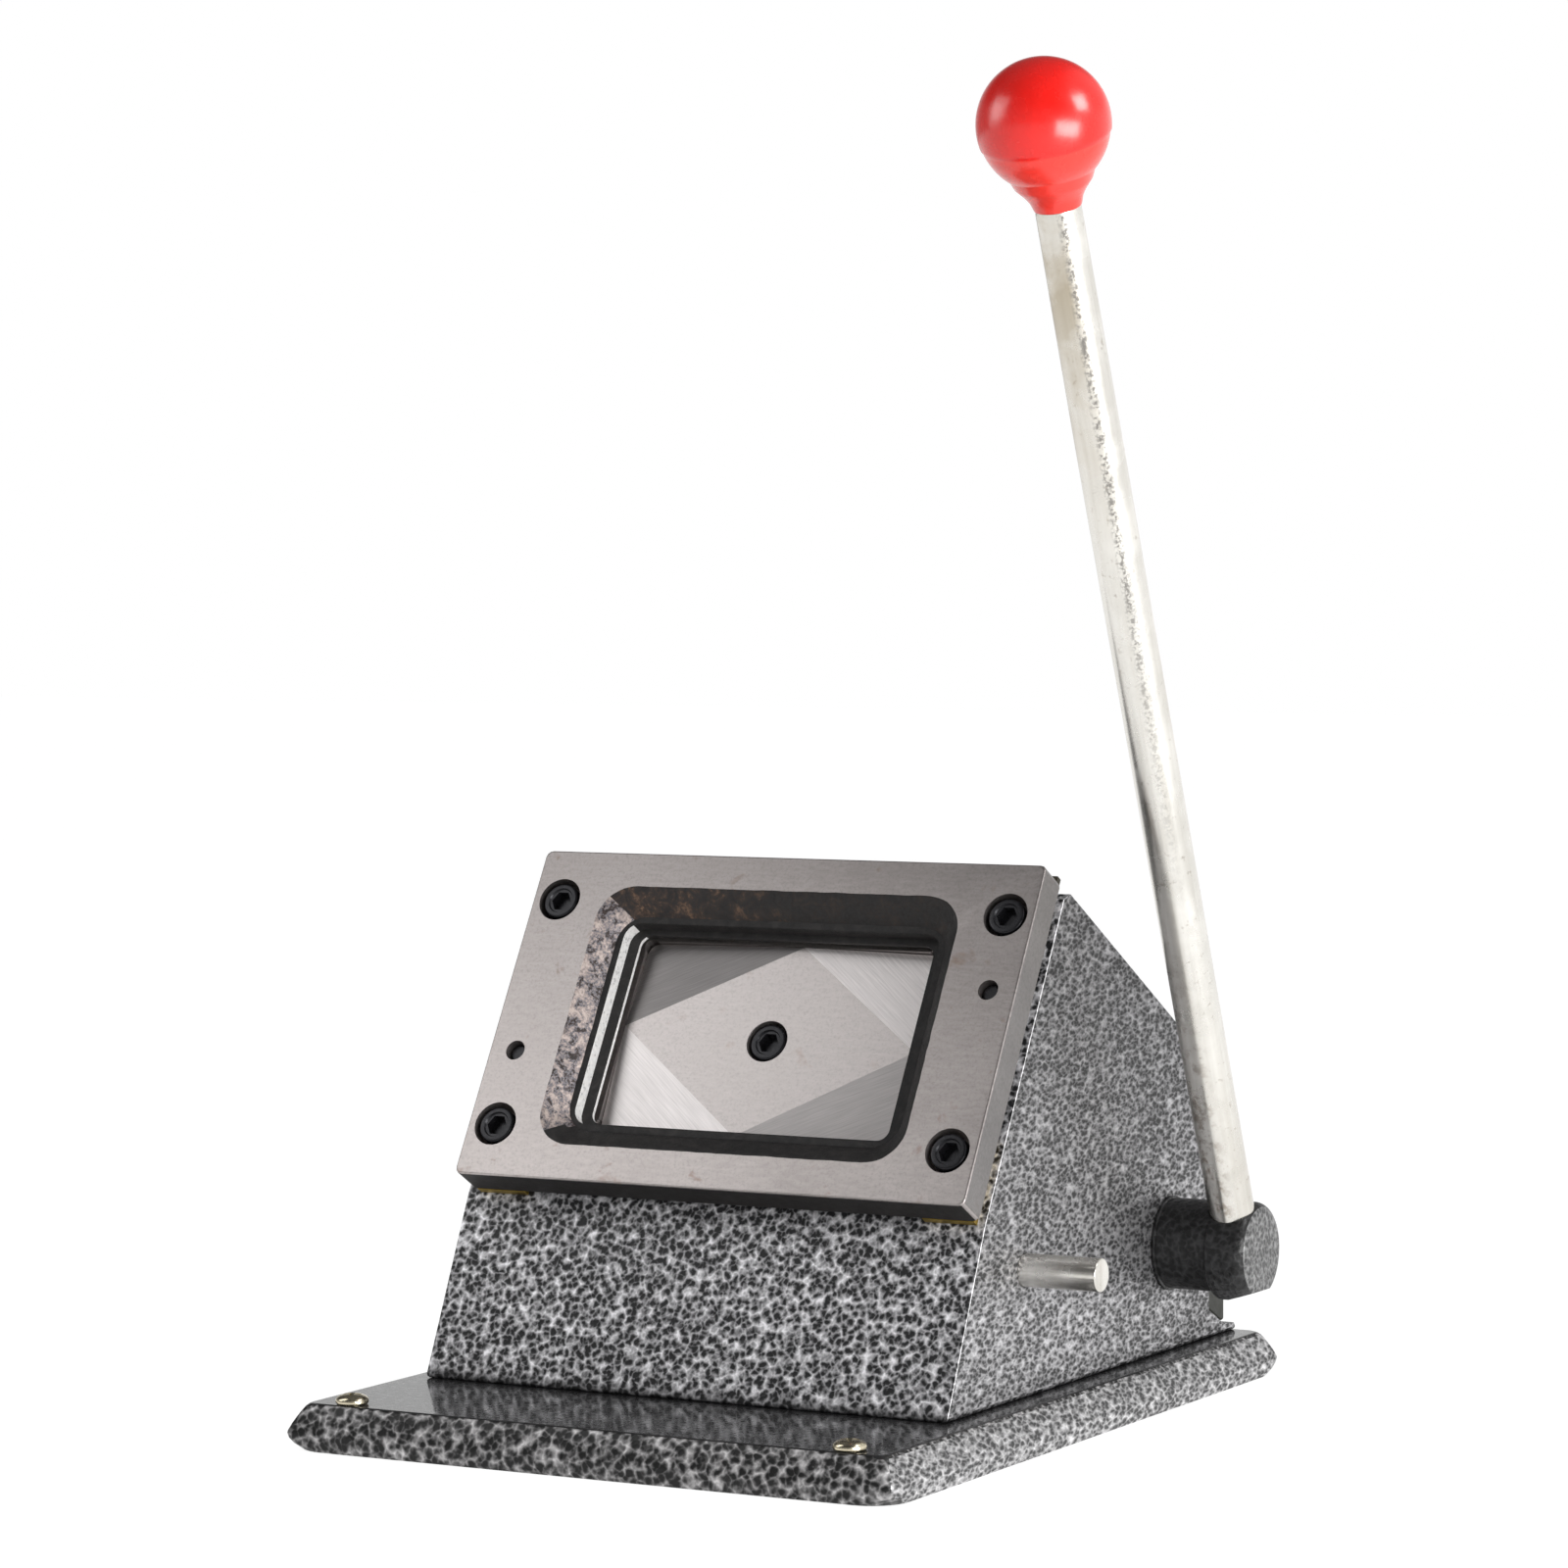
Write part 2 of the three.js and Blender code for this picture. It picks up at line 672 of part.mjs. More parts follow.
function housing() {
  const body = alongX(prism(housingOutline(), -leftOuterX, sideOuterX));
  const cavity = alongX(prism(cavityOutline(), -sideInnerX, sideInnerX));
  const inSlope = (geometry) => geometry.applyMatrix4(slope.matrix);
  const guidePocket = inSlope(prism(
    roundedRectangle(guidePocketWidth, guidePocketLength, punchCornerRadius),
    -guideFloorDepth,
    -rimDepth + cutOver,
  ));
  const ledgeOpening = inSlope(prism(
    roundedRectangle(ledgeOpeningWidth, guidePocketLength, punchCornerRadius),
    -ledgeFloorDepth - cutOver,
    -rimDepth + cutOver,
  ));
  const bushHoles = [-1, 1].map((side) => moved(
    alongX(cylinder(bushRadius + boreGap, -wall, wall, shaftSteps)),
    side * wallMiddleX,
    shaftY,
    shaftZ,
  ));
  const pinHole = moved(
    alongX(cylinder(stopPinRadius + boreGap, -wall, wall)),
    wallMiddleX,
    stopPinY,
    stopPinZ,
  );
  const holesInSlope = atCorners((sx, sy) => [
    moved(
      cylinder(dieScrewRadius + boreGap, -blindTipDepth - seatGap, 0, smallSteps),
      sx * dieScrewX,
      sy * dieScrewAcross,
      0,
    ),
    moved(
      cylinder(postRadius + boreGap, -ledgeFloorDepth - cutOver, -rimDepth, smallSteps),
      sx * postX,
      sy * postAcross,
      0,
    ),
    moved(
      cylinder(guideScrewRadius + boreGap, -guideFloorDepth - ledgeThickness - cutOver, -rimDepth, smallSteps),
      sx * guideScrewX,
      sy * guideScrewAcross,
      0,
    ),
  ]).flat();
  const dowelHoles = dowelPlaces().map(([x, y]) => moved(
    cylinder(dowelRadius + boreGap, -blindTipDepth - seatGap, 0, smallSteps),
    x,
    y,
    0,
  ));
  const footHoles = footScrewPlaces().map(([x, y]) => moved(
    cylinder(footScrewRadius + boreGap, -cutOver, footScrewTip + seatGap, smallSteps),
    x,
    y,
    0,
  ));
  const coverHoles = coverScrewPlaces().map(([x, z]) => moved(
    cylinder(coverScrewRadius + boreGap, -cutOver, coverScrewReach + seatGap, smallSteps).rotateX(Math.PI / 2),
    x,
    rearY,
    z,
  ));
  addPart(cutter, 'housing', 'hammertone', cut(body, [
    cavity,
    guidePocket,
    ledgeOpening,
    ...bushHoles,
    pinHole,
    ...[...holesInSlope, ...dowelHoles].map(inSlope),
    ...footHoles,
    ...coverHoles,
  ]));
}

// Rear cover and its screws
function coverScrewPlaces() {
  return [
    [-wallMiddleX, coverScrewHighZ],
    [wallMiddleX, coverScrewHighZ],
    [-wallMiddleX, coverScrewLowZ],
    [wallMiddleX, coverScrewLowZ],
  ];
}

function rearCover() {
  const width = housingWidth - 2 * coverEdgeInset;
  const height = coverTop - coverBottom;
  const middle = (coverTop + coverBottom) / 2;
  const outline = (inset) => roundedRectangle(width - 2 * inset, height - 2 * inset, coverBevel);
  const body = stack(
    [outline(0), outline(0), outline(coverBevel)],
    [seatGap, coverThickness - coverBevel, coverThickness],
  );
  const overToe = [...toeLine(coverToeGap), new THREE.Vector2(rearY, 0), new THREE.Vector2(rearY + toeReach, 0)];
  const toe = prism(overToe.map((p) => new THREE.Vector2(p.x - rearY, p.y - middle)), -housingWidth, housingWidth)
    .applyMatrix4(new THREE.Matrix4().makeBasis(
      new THREE.Vector3(0, 0, 1),
      new THREE.Vector3(0, 1, 0),
      new THREE.Vector3(-1, 0, 0),
    ));
  const holes = coverScrewPlaces().map(([x, z]) => moved(join([
    cylinder(coverScrewRadius + boreGap, -cutOver, coverThickness + cutOver, smallSteps),
    cylinder(
      coverScrewHeadRadius + boreGap,
      coverThickness - coverScrewHeadHeight - seatGap,
      coverThickness + cutOver,
      smallSteps,
    ),
  ]), -x, z - middle, 0));
  const mesh = addPart(cutter, 'rear_cover', 'olivePaint', cut(body, [toe, ...holes]));
  mesh.position.set(0, rearY, middle);
  mesh.rotation.set(Math.PI / 2, Math.PI, 0);
}

function coverScrews() {
  coverScrewPlaces().forEach(([x, z], i) => {
    const screw = capScrew(
      coverScrewRadius,
      coverScrewHeadRadius,
      coverScrewHeadHeight,
      coverThickness,
      -coverScrewReach,
      socketRadius / 2,
      coverScrewHeadHeight / 2,
    );
    const mesh = addPart(cutter, `cover_screw_${i + 1}`, 'darkSteel', screw);
    mesh.position.set(x, rearY, z);
    mesh.rotation.x = -Math.PI / 2;
  });
}

// Die plate with its window: tapered pocket, relief and the thin cutting lip
function diePlate() {
  const outline = (inset) => roundedRectangle(
    plateWidth - 2 * inset,
    plateLength - 2 * inset,
    plateCornerCut,
    1,
  );
  const body = stack(
    [outline(plateEdgeBevel), outline(0), outline(0), outline(plateEdgeBevel)],
    [-plateThickness, plateEdgeBevel - plateThickness, -plateEdgeBevel, 0],
  );
  const mouth = roundedRectangle(pocketWidth, pocketLength, pocketCornerRadius);
  const floor = roundedRectangle(pocketFloorWidth, pocketFloorLength, pocketFloorRadius);
  const pocket = stack([floor, mouth, mouth], [-pocketFloorDepth, 0, cutOver]);
  const relief = prism(
    roundedRectangle(reliefWidth, reliefLength, reliefCornerRadius),
    -lipTopDepth,
    cutOver,
  );
  const lip = prism(punchOutline(punchGap), -plateThickness - cutOver, cutOver);
  const screwFloor = -headSink - dieScrewHeadHeight;
  const screwHoles = atCorners((sx, sy) => moved(
    capScrewHole(dieScrewRadius, dieScrewHeadRadius, screwFloor - seatGap, -plateThickness, dieCounterboreGap),
    sx * dieScrewX,
    sy * dieScrewAcross,
    0,
  ));
  const dowelHoles = dowelPlaces().map(([x, y]) => moved(
    cylinder(dowelRadius + boreGap, -plateThickness - cutOver, cutOver, smallSteps),
    x,
    y,
    0,
  ));
  addPart(slope, 'die_plate', 'toolSteel', cut(body, [pocket, relief, lip, ...screwHoles, ...dowelHoles]));
}

function punchOutline(gap) {
  return roundedRectangle(punchWidth + 2 * gap, punchLength + 2 * gap, punchCornerRadius + gap);
}

function dowelPlaces() {
  return [[-dowelX, -dowelAcross], [dowelX, dowelAcross]];
}

function dieScrews() {
  atCorners((sx, sy, number) => {
    const screw = capScrew(dieScrewRadius, dieScrewHeadRadius, dieScrewHeadHeight, -headSink, -blindTipDepth);
    addPart(slope, `die_screw_${number}`, 'darkSteel', screw).position.set(sx * dieScrewX, sy * dieScrewAcross, 0);
  });
}

function dowels() {
  dowelPlaces().forEach(([x, y], i) => {
    const pin = cylinder(dowelRadius, -blindTipDepth, -dowelSink, smallSteps);
    addPart(slope, `dowel_${i + 1}`, 'groundSteel', pin).position.set(x, y, 0);
  });
}

function shims() {
  atCorners((sx, sy, number) => {
    const endX = sx * (plateWidth / 2 - shimSideInset);
    const startX = endX - sx * shimWidth;
    const endY = sy * (plateLength / 2) + (sy > 0 ? shimOverhang : 0);
    const startY = endY - sy * shimLength;
    const strip = block(
      new THREE.Vector3(Math.min(startX, endX), Math.min(startY, endY), seatGap - rimDepth),
      new THREE.Vector3(Math.max(startX, endX), Math.max(startY, endY), -plateThickness - seatGap),
    );
    const hole = moved(
      cylinder(dieScrewRadius + boreGap, -rimDepth - cutOver, -plateThickness + cutOver, smallSteps),
      sx * dieScrewX,
      sy * dieScrewAcross,
      0,
    );
    addPart(slope, `shim_${number}`, 'brass', cut(strip, [hole]));
  });
}

// Guide plate under the slot
function guidePlate() {
  const body = prism(
    roundedRectangle(
      guidePocketWidth - 2 * seatGap,
      guidePocketLength - 2 * seatGap,
      punchCornerRadius,
    ),
    -rimDepth - guideThickness,
    -rimDepth,
  );
  const aperture = prism(punchOutline(punchGap), -rimDepth - guideThickness - cutOver, -rimDepth + cutOver);
  const cornerX = punchWidth / 2 - punchCornerRadius / 2;
  const cornerY = punchLength / 2 - punchCornerRadius / 2;
  const holes = atCorners((sx, sy) => [
    moved(
      cylinder(guideRelief, -rimDepth - guideThickness - cutOver, -rimDepth + cutOver, smallSteps),
      sx * cornerX,
      sy * cornerY,
      0,
    ),
    moved(
      capScrewHole(
        guideScrewRadius,
        guideScrewHeadRadius,
        -rimDepth - headSink - guideScrewHeadHeight - seatGap,
        -rimDepth - guideThickness,
        boreGap,
      ),
      sx * guideScrewX,
      sy * guideScrewAcross,
      0,
    ),
  ]).flat();
  addPart(slope, 'guide_plate', 'toolSteel', cut(body, [aperture, ...holes]));
}

function guideScrews() {
  atCorners((sx, sy, number) => {
    const screw = capScrew(
      guideScrewRadius,
      guideScrewHeadRadius,
      guideScrewHeadHeight,
      -rimDepth - headSink,
      -guideFloorDepth - ledgeThickness * guideScrewTipShare,
      socketRadius / 2,
      socketDepth / 2,
    );
    addPart(slope, `guide_screw_${number}`, 'darkSteel', screw)
      .position.set(sx * guideScrewX, sy * guideScrewAcross, 0);
  });
}

// A large cutting body whose lower face lies on the plane through three points
function aboveFacet(a, b, c) {
  const along = b.clone().sub(a).normalize();
  const normal = along.clone().cross(c.clone().sub(a)).normalize();
  const upward = normal.z < 0 ? normal.negate() : normal;
  const aside = upward.clone().cross(along);
  const frame = new THREE.Matrix4().makeBasis(along, aside, upward).setPosition(a);
  const reach = 2 * punchWidth;
  return block(new THREE.Vector3(-reach, -reach, 0), new THREE.Vector3(reach, reach, punchHeight))
    .applyMatrix4(frame);
}

function punch() {
  const face = -punchFaceDepth;
  const halfX = punchWidth / 2;
  const halfY = punchLength / 2;
  const body = prism(punchOutline(0), face - punchHeight, face);
  const onTop = new THREE.Vector3(facetTop, halfY, face);
  const onRight = new THREE.Vector3(halfX, facetRight, face);
  const onBottom = new THREE.Vector3(facetBottom, -halfY, face);
  const onLeft = new THREE.Vector3(-halfX, facetLeft, face);
  const low = (sx, sy) => new THREE.Vector3(sx * halfX, sy * halfY, face - facetDrop);
  const facets = [
    aboveFacet(onTop, onRight, low(1, 1)),
    aboveFacet(onRight, onBottom, low(1, -1)),
    aboveFacet(onBottom, onLeft, low(-1, -1)),
    aboveFacet(onLeft, onTop, low(-1, 1)),
  ];
  const headFloor = face - headSink - punchScrewHeadHeight - seatGap;
  const screwHole = capScrewHole(
    punchScrewRadius,
    punchScrewHeadRadius,
    headFloor,
    face - punchHeight,
    punchCounterboreGap,
  );
  addPart(slope, 'punch', 'groundSteel', cut(body, [...facets, screwHole]));
  addPart(slope, 'punch_screw', 'darkSteel', capScrew(
    punchScrewRadius,
    punchScrewHeadRadius,
    punchScrewHeadHeight,
    face - headSink,
    -ramTopDepth - ramThickness + headSink,
  ));
}

// Ram plate with its post holes, spring pockets and screw holes
function ramPlate() {
  const body = prism(
    roundedRectangle(ramWidth, ramLength, ramCornerRadius),
    -ramFloorDepth,
    -ramTopDepth,
  );
  const postHoles = atCorners((sx, sy) => moved(join([
    cylinder(postRadius + slideGap, -ramFloorDepth - cutOver, -ramTopDepth + cutOver, smallSteps),
    cylinder(springOuterRadius + springPocketGap, -ramTopDepth - springPocketDepth, -ramTopDepth + cutOver),
  ]), sx * postX, sy * postAcross, 0));
  const middleHole = cylinder(
    punchScrewRadius + boreGap,
    -ramFloorDepth - cutOver,
    -ramTopDepth + cutOver,
    smallSteps,
  );
  const blockHoles = blockScrewPlaces().map(([x, y]) => moved(
    capScrewHole(
      blockScrewRadius,
      blockScrewHeadRadius,
      -ramTopDepth - headSink - blockScrewHeadHeight - seatGap,
      -ramFloorDepth,
      boreGap,
    ),
    x,
    y,
    0,
  ));
  addPart(slope, 'ram_plate', 'toolSteel', cut(body, [...postHoles, middleHole, ...blockHoles]));
}

function blockScrewPlaces() {
  return [[-blockScrewX, shaftAcross], [blockScrewX, shaftAcross]];
}

function postsAndSprings() {
  atCorners((sx, sy, number) => {
    const post = cylinder(postRadius, -guideFloorDepth - postReach, -guideFloorDepth, smallSteps);
    addPart(slope, `guide_post_${number}`, 'groundSteel', post).position.set(sx * postX, sy * postAcross, 0);
    const spring = tube(
      springInnerRadius,
      springOuterRadius,
      -ramTopDepth - springPocketDepth + seatGap,
      -ledgeFloorDepth - seatGap,
      smallSteps,
    );
    addPart(slope, `return_spring_${number}`, 'springSteel', spring)
      .position.set(sx * postX, sy * postAcross, 0);
  });
}

// Roller block under the ram: two cheeks that hold the roller on its pin
function rollerBlock() {
  const rollerDepth = shaftDepth - camPitchRadius;
  const body = block(
    new THREE.Vector3(-cheekOuter, -blockLength / 2, -rollerDepth - blockEnd),
    new THREE.Vector3(cheekOuter, blockLength / 2, -ramFloorDepth - seatGap),
  );
  const fork = block(
    new THREE.Vector3(-cheekInner, -blockLength, -rollerDepth - blockEnd - cutOver),
    new THREE.Vector3(cheekInner, blockLength, -rollerDepth + rollerRadius + cheekGap),
  );
  const pinHole = moved(
    alongX(cylinder(rollerPinRadius + boreGap, -cheekOuter - cutOver, cheekOuter + cutOver)),
    0,
    0,
    -rollerDepth,
  );
  const screwHoles = blockScrewPlaces().map(([x]) => moved(
    cylinder(
      blockScrewRadius + boreGap,
      -ramFloorDepth - blockScrewReach - seatGap,
      -ramTopDepth,
      smallSteps,
    ),
    x,
    0,
    0,
  ));
  addPart(slope, 'roller_block', 'toolSteel', cut(body, [fork, pinHole, ...screwHoles]))
    .position.y = shaftAcross;
  addPart(slope, 'roller_pin', 'groundSteel', alongX(cylinder(rollerPinRadius, -cheekOuter, cheekOuter)))
    .position.set(0, shaftAcross, -rollerDepth);
  addPart(slope, 'cam_roller', 'groundSteel', alongX(tube(
    rollerPinRadius + slideGap,
    rollerRadius,
    -camWidth / 2,
    camWidth / 2,
  ))).position.set(0, shaftAcross, -rollerDepth);
  blockScrewPlaces().forEach(([x, y], i) => {
    const screw = capScrew(
      blockScrewRadius,
      blockScrewHeadRadius,
      blockScrewHeadHeight,
      -ramTopDepth - headSink,
      -ramFloorDepth - blockScrewReach,
    );
    addPart(slope, `block_screw_${i + 1}`, 'darkSteel', screw).position.set(x, y, 0);
  });
}

// Cam that pushes the roller, and with it the punch, by an equal step for each degree of the lever
function camOutline() {
  const lift = punchTravel / leverSwing;
  const faceSteps = 24;
  const backSteps = 12;
  const first = Math.PI / 2 - leverSwing - camRunOut;
  const last = Math.PI / 2 + camLeadIn;
  const face = Array.from({ length: faceSteps + 1 }, (_, i) => {
    const angle = first + ((last - first) * i) / faceSteps;
    const radius = camPitchRadius + lift * (Math.PI / 2 - angle);
    const out = new THREE.Vector2(Math.cos(angle), Math.sin(angle));
    const around = new THREE.Vector2(-out.y, out.x);
    const run = out.clone().multiplyScalar(-lift).addScaledVector(around, radius);
    const normal = new THREE.Vector2(run.y, -run.x).normalize();
    return out.multiplyScalar(radius).addScaledVector(normal, -rollerRadius - camGap);
  });
  const backFirst = last + camFlank;
  const backLast = first - camFlank + 2 * Math.PI;
  const back = Array.from({ length: backSteps + 1 }, (_, i) => {
    const angle = backFirst + ((backLast - backFirst) * i) / backSteps;
    return new THREE.Vector2(camBackRadius * Math.cos(angle), camBackRadius * Math.sin(angle));
  });
  return [...face, ...back];
}

// The key lies half in the shaft and half in the cam, on the side away from the roller
function keyBlock(gap, end) {
  return block(
    new THREE.Vector3(-end, -keyWidth / 2 - gap, -shaftRadius - keyHeight / 2 - gap),
    new THREE.Vector3(end, keyWidth / 2 + gap, -shaftRadius + keyHeight / 2 + gap),
  );
}

function shaftAndCam() {
  const camBody = alongX(prism(camOutline(), -camWidth / 2, camWidth / 2));
  const camBore = alongX(cylinder(shaftRadius + boreGap, -camWidth, camWidth, shaftSteps));
  addPart(turning, 'cam', 'toolSteel', cut(camBody, [camBore, keyBlock(boreGap, camWidth)]));
  const shaft = alongX(cylinder(shaftRadius, -shaftLeftEnd, shaftRightEnd, shaftSteps));
  addPart(turning, 'lever_shaft', 'groundSteel', cut(shaft, [keyBlock(boreGap, keyLength / 2 + boreGap)]));
  addPart(turning, 'cam_key', 'groundSteel', keyBlock(0, keyLength / 2));
}

function bushesAndCollar() {
  const inner = sideInnerX - seatGap;
  const outer = sideOuterX - seatGap;
  const bore = shaftRadius + slideGap;
  ['left', 'right'].forEach((name, i) => {
    const bush = turned([
      [bore, inner - bushFlangeThickness],
      [bushFlangeRadius, inner - bushFlangeThickness],
      [bushFlangeRadius, inner],
      [bushRadius, inner],
      [bushRadius, outer],
      [bore, outer],
      [bore, inner - bushFlangeThickness],
    ], shaftSteps);
    const mesh = addPart(cutter, `bush_${name}`, 'bronze', alongX(bush));
    mesh.position.set(0, shaftY, shaftZ);
    mesh.rotation.z = i === 0 ? Math.PI : 0;
  });
  const start = leftOuterX + seatGap;
  const end = start + collarWidth;
  const collar = turned([
    [shaftRadius + boreGap, start],
    [collarRadius, start],
    [collarRadius, end - collarBevel],
    [collarRadius - collarBevel, end],
    [shaftRadius + boreGap, end],
    [shaftRadius + boreGap, start],
  ], shaftSteps);
  addPart(turning, 'shaft_collar', 'darkSteel', alongX(collar)).rotation.z = Math.PI;
}

// Hub on the right end of the shaft, with the rod's cross hole and a set screw below
function leverHub() {
  const start = sideOuterX + seatGap;
  const noseSteps = 4;
  const nose = Array.from({ length: noseSteps + 1 }, (_, i) => {
    const angle = (i * Math.PI) / 2 / noseSteps;
    return [
      headNoseRadius + (headRadius - headNoseRadius) * Math.cos(angle),
      headEnd - headNoseLength + headNoseLength * Math.sin(angle),
    ];
  });
  const head = alongX(turned([
    [0, barrelEnd],
    [headRadius - headShoulder, barrelEnd],
    [headRadius, barrelEnd + headShoulder],
    ...nose,
    [0, headEnd],
  ], shaftSteps));
  const facetLow = new THREE.Vector2(barrelEnd + headFacetStart, -headRadius);
  const facetHigh = new THREE.Vector2(headEnd, headFacetRise - headRadius);
  const facetRun = facetHigh.clone().sub(facetLow);
  const belowFacet = prism([
    facetLow,
    facetLow.clone().setY(facetLow.y - cutOver),
    facetHigh.clone().add(facetRun).setY(facetLow.y - cutOver),
    facetHigh.clone().add(facetRun),
  ], -headRadius, headRadius).rotateX(Math.PI / 2);
  const body = join([
    alongX(cylinder(barrelRadius, start, barrelEnd + headShoulder, shaftSteps)),
    moved(cut(head, [belowFacet]), 0, 0, -headDrop),
  ]);
  const bore = alongX(cylinder(shaftRadius + boreGap, start - cutOver, hubBoreEnd, shaftSteps));
  const rodHole = moved(cylinder(rodRadius + boreGap, -rodFoot - seatGap, headRadius + cutOver), rodX, 0, 0);
  const screwHole = moved(
    cylinder(hubScrewRadius + boreGap, -barrelRadius - cutOver, 0, smallSteps),
    hubScrewX,
    0,
    0,
  );
  addPart(lever, 'lever_hub', 'hammertoneBlack', cut(body, [bore, rodHole, screwHole]));
  const screwTop = shaftRadius + boreGap;
  const screw = cut(cylinder(hubScrewRadius, -barrelRadius, -screwTop, smallSteps), [
    prism(polygon(6, hubScrewSocketRadius), -barrelRadius - cutOver, hubScrewSocketDepth - barrelRadius),
  ]);
  addPart(lever, 'hub_set_screw', 'darkSteel', screw).position.x = hubScrewX;
}

function leverRod() {
  const shoulder = leverLength - neckReach - seatGap;
  const body = turned([
    [0, -rodFoot],
    [rodRadius, -rodFoot],
    [rodRadius, shoulder],
    [studRadius, shoulder],
    [studRadius, leverLength + studReach],
    [0, leverLength + studReach],
  ]);
  addPart(lever, 'lever_rod', 'nickel', body).position.x = rodX;
}

function ballKnob() {
  const ballSteps = 14;
  const neckAngle = Math.asin(neckRootRadius / ballRadius);
  const sphere = Array.from({ length: ballSteps + 1 }, (_, i) => {
    const angle = neckAngle + ((Math.PI - neckAngle) * i) / ballSteps;
    return [ballRadius * Math.sin(angle), -ballRadius * Math.cos(angle)];
  });
  sphere[ballSteps][0] = 0;
  const boreRadius = studRadius + boreGap;
  const boreTop = studReach + seatGap;
  const body = turned([
    [0, boreTop],
    [boreRadius, boreTop],
    [boreRadius, -neckReach],
    [neckEndRadius, -neckReach],
    ...sphere,
  ]);
  addPart(lever, 'ball_knob', 'redPlastic', body).position.set(rodX, 0, leverLength);
}

function stopPin() {
  const pin = turned([
    [0, sideInnerX + seatGap],
    [stopPinRadius, sideInnerX + seatGap],
    [stopPinRadius, stopPinEnd - stopPinBevel],
    [stopPinRadius - stopPinBevel, stopPinEnd],
    [0, stopPinEnd],
  ]);
  addPart(cutter, 'stop_pin', 'nickel', alongX(pin)).position.set(0, stopPinY, stopPinZ);
}

basePlate();
baseScrews();
footScrews();
housing();
rearCover();
coverScrews();
diePlate();
dieScrews();
dowels();
shims();
guidePlate();
guideScrews();
punch();
ramPlate();
postsAndSprings();
rollerBlock();
shaftAndCam();
bushesAndCollar();
leverHub();
leverRod();
ballKnob();
stopPin();

export default cutter;
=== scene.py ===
import json
import math

import bmesh
import bpy
from mathutils import Matrix, Vector, noise

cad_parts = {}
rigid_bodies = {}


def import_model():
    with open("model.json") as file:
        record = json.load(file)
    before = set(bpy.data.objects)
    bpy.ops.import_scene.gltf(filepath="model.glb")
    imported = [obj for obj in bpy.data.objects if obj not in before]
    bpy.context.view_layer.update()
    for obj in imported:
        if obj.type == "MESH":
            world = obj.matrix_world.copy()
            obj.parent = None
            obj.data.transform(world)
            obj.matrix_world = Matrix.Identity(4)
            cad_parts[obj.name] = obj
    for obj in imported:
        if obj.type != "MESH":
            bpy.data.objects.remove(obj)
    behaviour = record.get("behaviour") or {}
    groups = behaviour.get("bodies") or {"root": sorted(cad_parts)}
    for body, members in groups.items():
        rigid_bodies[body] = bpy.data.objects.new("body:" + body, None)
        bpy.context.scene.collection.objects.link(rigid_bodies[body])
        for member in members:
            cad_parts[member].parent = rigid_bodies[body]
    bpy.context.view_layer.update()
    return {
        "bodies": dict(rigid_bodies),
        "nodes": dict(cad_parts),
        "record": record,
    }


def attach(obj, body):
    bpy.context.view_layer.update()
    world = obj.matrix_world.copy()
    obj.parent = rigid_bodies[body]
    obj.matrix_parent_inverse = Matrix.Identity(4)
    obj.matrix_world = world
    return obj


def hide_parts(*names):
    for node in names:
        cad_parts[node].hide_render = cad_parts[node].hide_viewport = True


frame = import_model()

MM = 0.001

# Frames that the turned pieces are drawn in
PLATE_TILT = math.radians(60)
PLATE_CENTRE = Vector((0, -30.7, 103.9)) * MM
PLATE = Matrix.Translation(PLATE_CENTRE) @ Matrix.Rotation(PLATE_TILT, 4, "X")
SHAFT_PLACE = Vector((0, 67, 40.3)) * MM
LEVER_LEAN = math.radians(22.5)
LEVER = Matrix.Translation(SHAFT_PLACE) @ Matrix.Rotation(LEVER_LEAN, 4, "X")
TO_X = Matrix(((0, 0, 1, 0), (1, 0, 0, 0), (0, 1, 0, 0), (0, 0, 0, 1)))
TO_Y = Matrix.Rotation(-math.pi / 2, 4, "X")

# Gap between pieces, and how far a cutter reaches past what it cuts
GAP = 0.15 * MM
OVER = 2 * MM


# Mesh making
def new_object(name, bm):
    mesh = bpy.data.meshes.new(name)
    bm.normal_update()
    bm.to_mesh(mesh)
    bm.free()
    obj = bpy.data.objects.new(name, mesh)
    bpy.context.scene.collection.objects.link(obj)
    return obj


def rounded(width, length, radius, steps=8):
    """Outline of a rounded rectangle, anticlockwise."""
    points = []
    for quarter, (sx, sy) in enumerate(((1, 1), (-1, 1), (-1, -1), (1, -1))):
        for i in range(steps + 1):
            angle = (quarter + i / steps) * math.pi / 2
            points.append((
                sx * (width / 2 - radius) + radius * math.cos(angle),
                sy * (length / 2 - radius) + radius * math.sin(angle),
            ))
    return points


def regular(sides, radius):
    turns = [i * math.tau / sides for i in range(sides)]
    return [(radius * math.cos(a), radius * math.sin(a)) for a in turns]


def loft(name, outlines, heights):
    """Closed body through outlines of equal point count, each at its own height."""
    bm = bmesh.new()
    rings = [
        [bm.verts.new((x, y, z)) for x, y in outline]
        for outline, z in zip(outlines, heights)
    ]
    for low, high in zip(rings, rings[1:]):
        for i in range(len(low)):
            j = (i + 1) % len(low)
            bm.faces.new((low[i], low[j], high[j], high[i]))
    bm.faces.new(tuple(reversed(rings[0])))
    bm.faces.new(tuple(rings[-1]))
    return new_object(name, bm)


def prism(name, outline, low, high):
    return loft(name, [outline, outline], [low, high])


